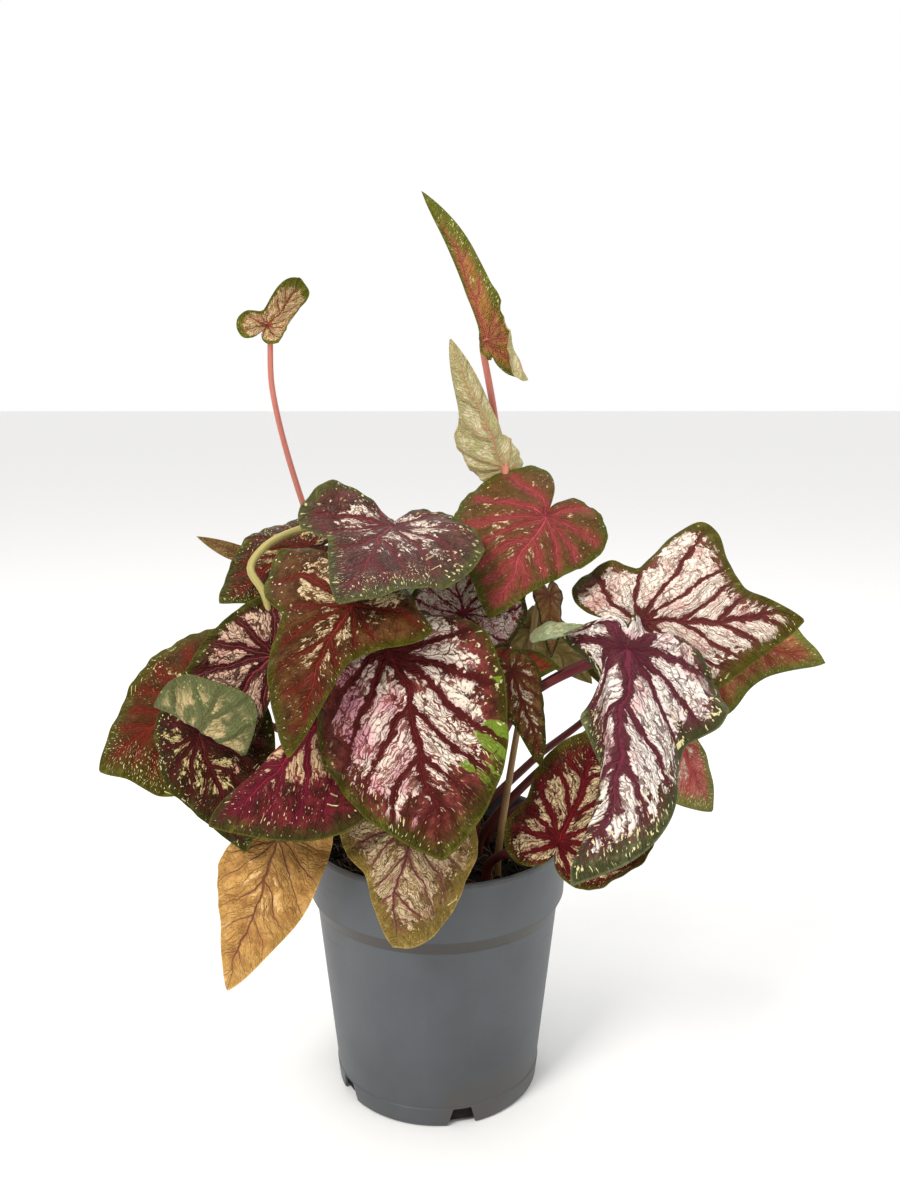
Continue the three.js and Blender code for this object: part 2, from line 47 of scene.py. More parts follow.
def bothWays(operation):
    # an operator on wires, and its reflected form for a wire that stands second
    def plain(self, other):
        return self.maths(operation, self, other)

    def reflected(self, other):
        return self.maths(operation, other, self)

    return plain, reflected


class Wire:
    __add__, __radd__ = bothWays("ADD")
    __sub__, __rsub__ = bothWays("SUBTRACT")
    __mul__, __rmul__ = bothWays("MULTIPLY")
    __truediv__, __rtruediv__ = bothWays("DIVIDE")

    def __init__(self, tree, socket=None):
        self.tree = tree
        self.socket = socket

    def node(self, kind, settings=None, sockets=None, output=0):
        # adds any node: its settings first, then the values or links of its sockets
        made = self.tree.nodes.new(kind)
        for key, value in (settings or {}).items():
            setattr(made, key, value)
        for key, value in (sockets or {}).items():
            if isinstance(value, Wire):
                self.tree.links.new(value.socket, made.inputs[key])
            else:
                made.inputs[key].default_value = value
        return Wire(self.tree, made.outputs[output])

    def maths(self, operation, *values):
        return self.node("ShaderNodeMath", {"operation": operation}, dict(enumerate(values)))

    def vectorMaths(self, operation, *values, output=0):
        return self.node("ShaderNodeVectorMath", {"operation": operation}, dict(enumerate(values)), output)

    def __neg__(self):
        return self.maths("MULTIPLY", self, -1)

    def __abs__(self):
        return self.maths("ABSOLUTE", self)

    def least(self, other):
        return self.maths("MINIMUM", self, other)

    def most(self, other):
        return self.maths("MAXIMUM", self, other)

    def rises(self, low, high):
        # 0 up to low and 1 from high, smooth between them; it falls instead where high is below low
        if high < low:
            return 1 - self.rises(high, low)
        return self.node("ShaderNodeMapRange", {"interpolation_type": "SMOOTHSTEP", "clamp": True},
                         {"Value": self, "From Min": low, "From Max": high})

    def parts(self):
        split = self.node("ShaderNodeSeparateXYZ", None, {0: self})
        return [Wire(self.tree, socket) for socket in split.socket.node.outputs]

    def blend(self, first, second):
        # from one colour to another as this wire goes from 0 to 1; three plain numbers are a tone, 0 to 255
        first, second = (tone(c) if not isinstance(c, Wire) and len(c) == 3 else c for c in (first, second))
        return self.node("ShaderNodeMix", {"data_type": "RGBA", "clamp_factor": True},
                         {0: self, 6: first, 7: second}, output=2)

    def objectPlace(self):
        return self.node("ShaderNodeTexCoord", output="Object")

    def stretched(self, *factors):
        return self.vectorMaths("MULTIPLY", self, factors)

    def moved(self, *shift):
        return self.vectorMaths("ADD", self, shift)

    def shaken(self, seed, scale, detail, amount):
        # a place moved a little by a noise's colour
        away = self.vectorMaths("SUBTRACT", seed.noise(scale, detail, output="Color"), (0.5, 0.5, 0.5))
        return self.vectorMaths("ADD", self, away.stretched(amount * 2, amount * 2, 0))

    def noise(self, scale, detail=2.0, rough=0.5, shift=0.0, output=0):
        place = self.moved(shift, shift * 0.7, shift * 1.3) if shift else self
        return self.node("ShaderNodeTexNoise", None,
                         {"Vector": place, "Scale": scale, "Detail": detail, "Roughness": rough}, output)

    def cells(self, scale, feature="F1", output=0):
        return self.node("ShaderNodeTexVoronoi", {"feature": feature},
                         {"Vector": self, "Scale": scale}, output)


def tone(color):
    # a colour read from the photo, 0 to 255, as the linear values that a shader takes
    parts = [c / 255 for c in color]
    return tuple(c / 12.92 if c <= 0.04045 else ((c + 0.055) / 1.055) ** 2.4 for c in parts) + (1.0,)


def startMaterial(name):
    # an empty material, and a wire to build its shader on
    material = bpy.data.materials.new(name)
    material.use_nodes = True
    return material, Wire(material.node_tree)


def finishMaterial(material, color, roughness, height, depth, gloss=0.5):
    # what varies goes to colour, roughness and bump; the gloss is set on the shader's own socket
    shader = material.node_tree.nodes["Principled BSDF"]
    bump = height.node("ShaderNodeBump", None, {"Height": height, "Distance": depth})
    for name, wire in (("Base Color", color), ("Roughness", roughness), ("Normal", bump)):
        material.node_tree.links.new(wire.socket, shader.inputs[name])
    shader.inputs["Specular IOR Level"].default_value = gloss
    return material


# What all pieces go through

def newObject(name, data):
    made = bpy.data.objects.new(name, data)
    bpy.context.scene.collection.objects.link(made)
    return made


def addPrimitive(name, add, scale=(1, 1, 1), **settings):
    # a primitive on its own, with its place and size in its mesh
    bpy.ops.object.select_all(action="DESELECT")
    add(**settings)
    piece = bpy.context.object
    piece.name = name
    piece.scale = scale
    bpy.ops.object.transform_apply(location=True, rotation=True, scale=True)
    return piece


def only(piece):
    bpy.ops.object.select_all(action="DESELECT")
    piece.select_set(True)
    bpy.context.view_layer.objects.active = piece


def applyModifier(piece, kind, **settings):
    only(piece)
    modifier = piece.modifiers.new(kind.lower(), kind)
    for key, value in settings.items():
        setattr(modifier, key, value)
    bpy.ops.object.modifier_apply(modifier=modifier.name)


def editTop(piece):
    # into edit mode, with only the highest face that looks up selected
    bpy.ops.object.mode_set(mode="EDIT")
    bpy.ops.mesh.select_mode(type="FACE")
    bpy.ops.mesh.select_all(action="DESELECT")
    bpy.ops.object.mode_set(mode="OBJECT")
    upward = [face for face in piece.data.polygons if face.normal.z > 0.9]
    max(upward, key=lambda face: face.center.z).select = True
    bpy.ops.object.mode_set(mode="EDIT")


def growTop(radius, nextRadius):
    growth = nextRadius / radius
    bpy.ops.transform.resize(value=(growth, growth, 1), center_override=(0, 0, 0))


def turnedPiece(name, profile, sides):
    # a round piece: a low cylinder whose top face is extruded from one radius and height to the next
    (radius, low), (nextRadius, high) = profile[:2]
    piece = addPrimitive(name, bpy.ops.mesh.primitive_cylinder_add, vertices=sides, radius=radius * mm,
                         depth=(high - low) * mm, location=(0, 0, (low + high) / 2 * mm))
    editTop(piece)
    growTop(radius, nextRadius)
    for (radius, low), (nextRadius, high) in zip(profile[1:], profile[2:]):
        bpy.ops.mesh.extrude_region_move(TRANSFORM_OT_translate={"value": (0, 0, (high - low) * mm)})
        growTop(radius, nextRadius)
    bpy.ops.object.mode_set(mode="OBJECT")
    return piece


def fillMesh(mesh, points, faces):
    mesh.clear_geometry()
    mesh.from_pydata([tuple(p) for p in np.asarray(points).tolist()], [], [tuple(f) for f in faces])
    mesh.update()


def tubeFaces(first, steps, sides):
    # four-sided faces of a tube of rings of points, closed by a face at either end
    faces = []
    for i in range(steps):
        for j in range(sides):
            a, b = first + i * sides + j, first + i * sides + (j + 1) % sides
            faces.append((a, b, b + sides, a + sides))
    faces.append(tuple(first + j for j in reversed(range(sides))))
    faces.append(tuple(first + steps * sides + j for j in range(sides)))
    return faces


def finishPiece(piece, materials, slot, *nodes, sharp=None):
    # smooth shading, except over edges from an angle where one is given, then materials and the frame
    only(piece)
    if sharp:
        bpy.ops.object.shade_smooth_by_angle(angle=math.radians(sharp))
    else:
        bpy.ops.object.shade_smooth()
    for material in materials:
        piece.data.materials.append(material)
    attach(piece, "root")
    if nodes:
        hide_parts(*nodes)


# Camera, floor and light

studio = {
    "cameraPlace": (0, -0.481, 0.325),
    "cameraDown": 11.23,       # degrees below level
    "cameraRight": 0.7,        # degrees to the right of straight ahead
    "lens": 33.0,
    "farthest": 60,            # how far the camera sees, in metres
    "floorSize": 24.0,
    "floorTone": (250, 249, 247),
    "floorSpeckle": 3,         # how much darker its specks are
    "floorRough": 0.6,
    "walls": (1.0, 1.0, 1.0, 1),
    "ceiling": (0.95, 0.95, 0.96, 1),
    "front": (0.16, 0.16, 0.17, 1),      # the darker side behind the camera, which only lights the plant
    # where each starts and is complete, by how far a direction points up or ahead
    "ceilingUp": (0.35, 0.7),
    "frontAhead": (0.1, -0.5),
    "frontUp": (0.6, 0.3),
    "roomStrength": 1.0,
    "lampAim": (0, 0, 0.2),
    # name, place, size, power, colour
    "lamps": [
        ("keyLight", (-0.75, -1.0, 1.3), 0.5, 20, (1.0, 0.98, 0.95)),
        ("fillLight", (1.3, -0.7, 0.8), 1.0, 4, (0.95, 0.97, 1.0)),
        ("topLight", (0.1, 0.35, 1.5), 0.8, 4, (1.0, 1.0, 1.0)),
    ],
}


def makeCamera():
    camera = newObject("camera", bpy.data.cameras.new("camera"))
    camera.data.lens = studio["lens"]
    camera.data.clip_end = studio["farthest"]
    camera.location = studio["cameraPlace"]
    down, right = math.radians(90 - studio["cameraDown"]), math.radians(-studio["cameraRight"])
    camera.rotation_euler = (down, 0, right)
    bpy.context.scene.camera = camera


def makeLights():
    # a pale room: white walls, and a ceiling that lets the lamps shape the leaves
    world = bpy.data.worlds.new("paleRoom")
    bpy.context.scene.world = world
    world.use_nodes = True
    bpy.context.scene.view_settings.view_transform = "Standard"
    wire = Wire(world.node_tree)
    _, ahead, up = wire.node("ShaderNodeTexCoord", output="Generated").parts()
    room = up.rises(*studio["ceilingUp"]).blend(studio["walls"], studio["ceiling"])
    unseen = 1 - wire.node("ShaderNodeLightPath", output="Is Camera Ray")
    dark = ahead.rises(*studio["frontAhead"]) * up.rises(*studio["frontUp"]) * unseen
    room = dark.blend(room, studio["front"])
    background = world.node_tree.nodes["Background"]
    background.inputs["Strength"].default_value = studio["roomStrength"]
    world.node_tree.links.new(room.socket, background.inputs["Color"])
    for name, place, size, power, color in studio["lamps"]:
        lamp = newObject(name, bpy.data.lights.new(name, "AREA"))
        lamp.data.size = size
        lamp.data.energy = power
        lamp.data.color = color
        lamp.location = place
        toPlant = Vector(studio["lampAim"]) - lamp.location
        lamp.rotation_euler = toPlant.to_track_quat("-Z", "Y").to_euler()


def makeFloor():
    floor = addPrimitive("floor", bpy.ops.mesh.primitive_plane_add, size=studio["floorSize"])
    material, wire = startMaterial("paleFloor")
    speckle = wire.objectPlace().noise(40, 4)
    color = speckle.blend(studio["floorTone"], [c - studio["floorSpeckle"] for c in studio["floorTone"]])
    finishMaterial(material, color, speckle * 0.1 + studio["floorRough"], speckle, 0.0002)
    floor.data.materials.append(material)
    print("camera, light and floor made")


# Pot

potShape = {
    "sides": 144,
    # radius and height of each edge, up the outside, over the rim and down the inside
    "profile": [(46.2, 0), (47.2, 1), (48.1, 9.1), (47.7, 9.6), (55.9, 88.5), (58.8, 94.5), (59.95, 119.2),
                (59.6, 120.7), (59.0, 121), (58.4, 121), (57.9, 120.6), (57.6, 119.6), (57.5, 95.5),
                (54.6, 88.5), (45.9, 2)],
    "notchCount": 5,
    "firstNotchAngle": -77,
    "notchWidth": 13.6,
    "notchTop": 0.6,           # width at the notch's top over its width at the bottom
    "notchHeight": 9,
    "notchReach": (38, 53),    # from the axis
    "edgeRound": 0.35,
    "roundFrom": 15,           # degrees between two faces from which their edge is rounded
    "sharp": 30,               # degrees from which an edge is shaded sharp
}

potFinish = {
    "plastic": (74, 78, 82),
    "shade": (62, 65, 68),
    "dust": (104, 98, 88),
    # soil stain low on the pot, also standing in for a painted warm reflection there
    "soilStainAndReflection": (92, 78, 60),
    # painted shade and dark reflection on the slope under the collar
    "paintedCollarShade": (50, 44, 38),    # the slope under the collar
    # how fine each pattern is
    "shadeScale": 14,
    "smearScale": 60,
    "scratchScale": 180,
    "grainScale": 1400,
    # how much of each shows, 0 to 1
    "smears": 0.28,
    "stainAndReflection": 0.45,
    "paintedCollarShadeAmount": 0.85,
    "rimDust": 0.5,
    # metres above the floor where each starts and is complete
    "stainAndReflectionDown": (0.035, 0.0),
    "paintedCollarShadeUp": (0.0878, 0.0888),
    "paintedCollarShadeDown": (0.0952, 0.0942),
    "rimUp": (0.1165, 0.1205),
    "rough": 0.40,
    "gloss": 0.5,
    "bumpDepth": 0.00006,      # in metres
}


def potMaterial():
    look = potFinish
    material, wire = startMaterial("greyPlastic")
    place = wire.objectPlace()
    z = place.parts()[2]
    flow = place.noise(look["shadeScale"], 4, 0.6)
    grain = place.noise(look["grainScale"], 2)
    smears = place.stretched(1, 1, 0.12).noise(look["smearScale"], 5, 0.65, shift=3)
    scratches = place.stretched(0.3, 0.3, 4).noise(look["scratchScale"], 3, 0.6, shift=9)
    dust = smears.rises(0.56, 0.8) * look["smears"]
    # low on the pot: soil stain, and with it a painted warm reflection
    low = z.rises(*look["stainAndReflectionDown"]) * flow.rises(0.45, 0.75)
    # painted shade and dark reflection on the slope under the collar
    paintedCollarShade = z.rises(*look["paintedCollarShadeUp"]) * z.rises(*look["paintedCollarShadeDown"])
    rim = z.rises(*look["rimUp"]) * smears.rises(0.4, 0.7)
    color = flow.rises(0.35, 0.7).blend(look["plastic"], look["shade"])
    color = dust.blend(color, look["dust"])
    color = (low * look["stainAndReflection"]).blend(color, look["soilStainAndReflection"])
    color = (paintedCollarShade * look["paintedCollarShadeAmount"]).blend(color, look["paintedCollarShade"])
    color = (rim * look["rimDust"]).blend(color, look["dust"])
    roughness = look["rough"] + flow * 0.08 + dust * 0.3 + scratches.rises(0.62, 0.7) * 0.1
    height = grain * 0.35 + scratches * 0.25 + smears * 0.4
    return finishMaterial(material, color, roughness, height, look["bumpDepth"], look["gloss"])


def notchCutter(angle):
    # a block with a narrower top, turned about the pot's axis; it starts a little below the pot
    near, far = potShape["notchReach"]
    width, high = potShape["notchWidth"], potShape["notchHeight"]
    cutter = addPrimitive("notchCutter", bpy.ops.mesh.primitive_cube_add,
                          scale=((far - near) * mm, width * mm, (high + 1) * mm),
                          size=1, location=((near + far) / 2 * mm, 0, (high / 2 - 0.5) * mm))
    editTop(cutter)
    bpy.ops.transform.resize(value=(1, potShape["notchTop"], 1), center_override=(0, 0, high * mm))
    bpy.ops.object.mode_set(mode="OBJECT")
    cutter.rotation_euler = (0, 0, math.radians(angle))
    bpy.ops.object.transform_apply(location=True, rotation=True, scale=True)
    return cutter


def makePot():
    pot = turnedPiece("nurseryPot", potShape["profile"], potShape["sides"])
    for i in range(potShape["notchCount"]):
        cutter = notchCutter(potShape["firstNotchAngle"] + 360 / potShape["notchCount"] * i)
        applyModifier(pot, "BOOLEAN", object=cutter, operation="DIFFERENCE", solver="EXACT")
        bpy.data.objects.remove(cutter)
    applyModifier(pot, "BEVEL", width=potShape["edgeRound"] * mm, segments=2, limit_method="ANGLE",
                  angle_limit=math.radians(potShape["roundFrom"]))
    finishPiece(pot, [potMaterial()], "pot", "pot", sharp=potShape["sharp"])
    print("pot made:", len(pot.data.polygons), "faces")


# Soil: a plug with a crumbly top

soilShape = {
    "sides": 96,
    "wall": [(45.55, 2.35), (54.25, 88.5), (57.1, 95.5), (57.1, 105)],
    "radius": 57,
    "edge": 50,                # radius where the top starts to fall to the wall
    "height": 108,
    "topFrom": 107,            # points above this height are the crumbly top
    "crown": 2,
    "ringStep": 2.0,
    "lump": 1.3,
    "rough": 1.5,
    # share, fineness and layer of the two sizes of rough crumbs
    "roughLayers": [(1, 0.22, 4), (0.6, 0.6, 9)],
}

soilFinish = {
    "dark": (13, 9, 7),
    "peat": (44, 30, 21),
    "ashen": (78, 66, 54),
    "crumbScale": 420,
    "patchScale": 90,
    "grainScale": 900,
    "ash": 0.4,
    "gloss": 0.25,
    "bumpDepth": 0.0008,       # in metres
}


def soilHeightAt(x, y):
    # the same crown and lumps as in the part's source, with crumbs of two sizes on top
    outward = min(math.hypot(x, y), soilShape["radius"]) / soilShape["edge"]
    height = soilShape["height"] + soilShape["crown"] * (0.5 - outward ** 2)
    lumps = math.sin(x * 0.31 + 1) * math.cos(y * 0.27) + 0.7 * math.sin(x * 0.13 - y * 0.35)
    height += soilShape["lump"] * lumps
    for share, scale, layer in soilShape["roughLayers"]:
        height += share * soilShape["rough"] * noise.noise((x * scale, y * scale, layer))
    return height


def soilMaterial():
    look = soilFinish
    material, wire = startMaterial("pottingMix")
    place = wire.objectPlace()
    crumbs = place.noise(look["crumbScale"], 6, 0.7)
    patches = place.noise(look["patchScale"], 3, 0.5, shift=2)
    color = crumbs.rises(0.4, 0.75).blend(look["dark"], look["peat"])
    color = (patches.rises(0.6, 0.8) * look["ash"]).blend(color, look["ashen"])
    height = crumbs + place.cells(look["grainScale"]) * 0.4
    return finishMaterial(material, color, 0.8 + crumbs * 0.2, height, look["bumpDepth"], look["gloss"])


def makeSoil():
    radii = np.arange(soilShape["radius"], 2, -soilShape["ringStep"])
    rings = [(radius, soilShape["height"]) for radius in radii]
    soil = turnedPiece("pottingSoil", soilShape["wall"] + rings, soilShape["sides"])
    editTop(soil)
    bpy.ops.mesh.poke()
    bpy.ops.object.mode_set(mode="OBJECT")
    for vertex in soil.data.vertices:
        x, y = vertex.co.x / mm, vertex.co.y / mm
        if vertex.co.z > soilShape["topFrom"] * mm:
            vertex.co.z = soilHeightAt(x, y) * mm
    finishPiece(soil, [soilMaterial()], "soil", "soil")
    print("soil made:", len(soil.data.polygons), "faces")


def scatterPlace(random, reach):
    # an even place on the soil's top, in millimetres
    radius = reach * math.sqrt(random.random())
    angle = random.random() * 2 * math.pi
    return radius * math.cos(angle), radius * math.sin(angle)


# Loose crumbs of bark and peat

crumbShape = {
    "count": 900,
    "seed": 5,
    "size": (0.7, 2.1),
    "smallness": 2.5,          # the higher, the more of them are small
    "reach": 55,               # from the pot's axis
    "knobs": (0.45, 1.6),      # how knobbly they are, and how fine the knobs
    "squash": (0.55, 0.45),    # least thickness, and how much more there may be
    "lift": 0.2,               # how much of a crumb's size its middle stands above the soil
}


def makeCrumbs():
    random = np.random.default_rng(crumbShape["seed"])
    crumb = addPrimitive("soilCrumbs", bpy.ops.mesh.primitive_uv_sphere_add,
                         segments=8, ring_count=6, radius=1)
    depth, fineness = crumbShape["knobs"]
    for vertex in crumb.data.vertices:
        vertex.co *= 1 + depth * noise.noise(vertex.co * fineness)
    shape = np.array([vertex.co for vertex in crumb.data.vertices])
    faces = [tuple(face.vertices) for face in crumb.data.polygons]
    points, corners = [], []
    small, large = crumbShape["size"]
    thin, more = crumbShape["squash"]
    for i in range(crumbShape["count"]):
        size = small + (large - small) * random.random() ** crumbShape["smallness"]
        turn = np.array(Matrix.Rotation(random.random() * 6.28, 3, Vector(random.random(3) + 0.01)))
        squash = thin + more * random.random(3)
        x, y = scatterPlace(random, crumbShape["reach"])
        place = np.array((x, y, soilHeightAt(x, y)))
        points.append((shape * squash @ turn.T * size + place + (0, 0, crumbShape["lift"] * size)) * mm)
        corners += [tuple(i * len(shape) + corner for corner in face) for face in faces]
    fillMesh(crumb.data, np.concatenate(points), corners)
    finishPiece(crumb, [soilMaterial()], "soil")
    print("crumbs made:", len(crumb.data.polygons), "faces")


# Loose fibres of peat and coir

fibreShape = {
    "count": 260,
    "seed": 8,
    "length": (5, 16),
    "steps": 7,
    "sides": 4,
    "startReach": 50,          # from the pot's axis
    "reach": 55,
    "turnBack": 1.2,           # radians a step, beyond that reach
    "bend": 0.35,              # radians a step, half of it to either side
    # least, and how much more there may be
    "hump": (0.5, 1.6),
    "radius": (0.12, 0.2),
    "lift": 0.3,
}

fibreFinish = {
    "fibre": (112, 80, 48),
    "pale": (158, 128, 88),
    "peat": (44, 30, 21),
    "changeScale": 55,
    "strandScale": 1500,
    "paleStrands": 0.6,
    "rough": 0.7,
    "bumpDepth": 0.0001,       # in metres
}


def fibreMaterial():
    look = fibreFinish
    material, wire = startMaterial("coirFibre")
    place = wire.objectPlace()
    strand = place.noise(look["strandScale"], 2)
    color = place.noise(look["changeScale"], 3).rises(0.4, 0.65).blend(look["fibre"], look["peat"])
    color = (strand.rises(0.5, 0.7) * look["paleStrands"]).blend(color, look["pale"])
    return finishMaterial(material, color, look["rough"] + strand * 0.2, strand, look["bumpDepth"])


def makeFibres():
    random = np.random.default_rng(fibreShape["seed"])
    steps, sides = fibreShape["steps"], fibreShape["sides"]
    short, long = fibreShape["length"]
    (hump, higher), (radius, thicker) = fibreShape["hump"], fibreShape["radius"]
    points, corners = [], []
    for i in range(fibreShape["count"]):
        length = short + (long - short) * random.random()
        x, y = scatterPlace(random, fibreShape["startReach"])
        heading = random.random() * 6.28
        bend = (random.random() - 0.5) * fibreShape["bend"]
        arch = hump + higher * random.random()
        thick = radius + thicker * random.random()
        for j in range(steps + 1):
            up = soilHeightAt(x, y) + arch * math.sin(math.pi * j / steps) + fibreShape["lift"]
            for k in range(sides):
                turn = 2 * math.pi * k / sides
                points.append((x - math.sin(heading) * math.cos(turn) * thick,
                               y + math.cos(heading) * math.cos(turn) * thick,
                               up + math.sin(turn) * thick))
            x += math.cos(heading) * length / steps
            y += math.sin(heading) * length / steps
            heading += bend
            if math.hypot(x, y) > fibreShape["reach"]:
                heading += fibreShape["turnBack"]
        corners += tubeFaces(i * (steps + 1) * sides, steps, sides)
    fibres = newObject("soilFibres", bpy.data.meshes.new("soilFibres"))
    fillMesh(fibres.data, np.array(points) * mm, corners)
    finishPiece(fibres, [fibreMaterial()], "soil")
    print("fibres made:", len(fibres.data.polygons), "faces")


# Leaves: each blade follows the same rule and the same values as in the part's source, with finer steps.
# at, tip, face: where the stalk meets the blade, the tip's place, and where the upper side looks
# left, right: outline radius at outlineAngles on each side of the tip, in hundredths of leaf length;
# notch: the same at the cleft behind the stalk; length: of the blade, if it isn't from at to tip
# sweep: how far the midrib bows; lifts, waves and bends: how the blade is waved and rolled
# foot, via, back, stalk: the stalk's way and its radius at the foot and under the blade

outlineAngles = (0, 15, 35, 60, 90, 120, 145, 165, 180)


def evenOutline(*outline):
    # the same outline on both sides
    return {"left": outline, "right": outline}


commonLeaf = dict(
    **evenOutline(82, 68, 60, 56, 56, 52, 36), notch=10, sweep=0, lifts=(), waves=(5, 0.02, 20),
    bends=((90, 0, 0.6, 20), (-90, 0, 0.6, 20), (0, 0.1, 0.9, 25), (180, 0.1, 0.5, 25)),
    via=(), back=12, stalk=(2.3, 1.5), length=None)

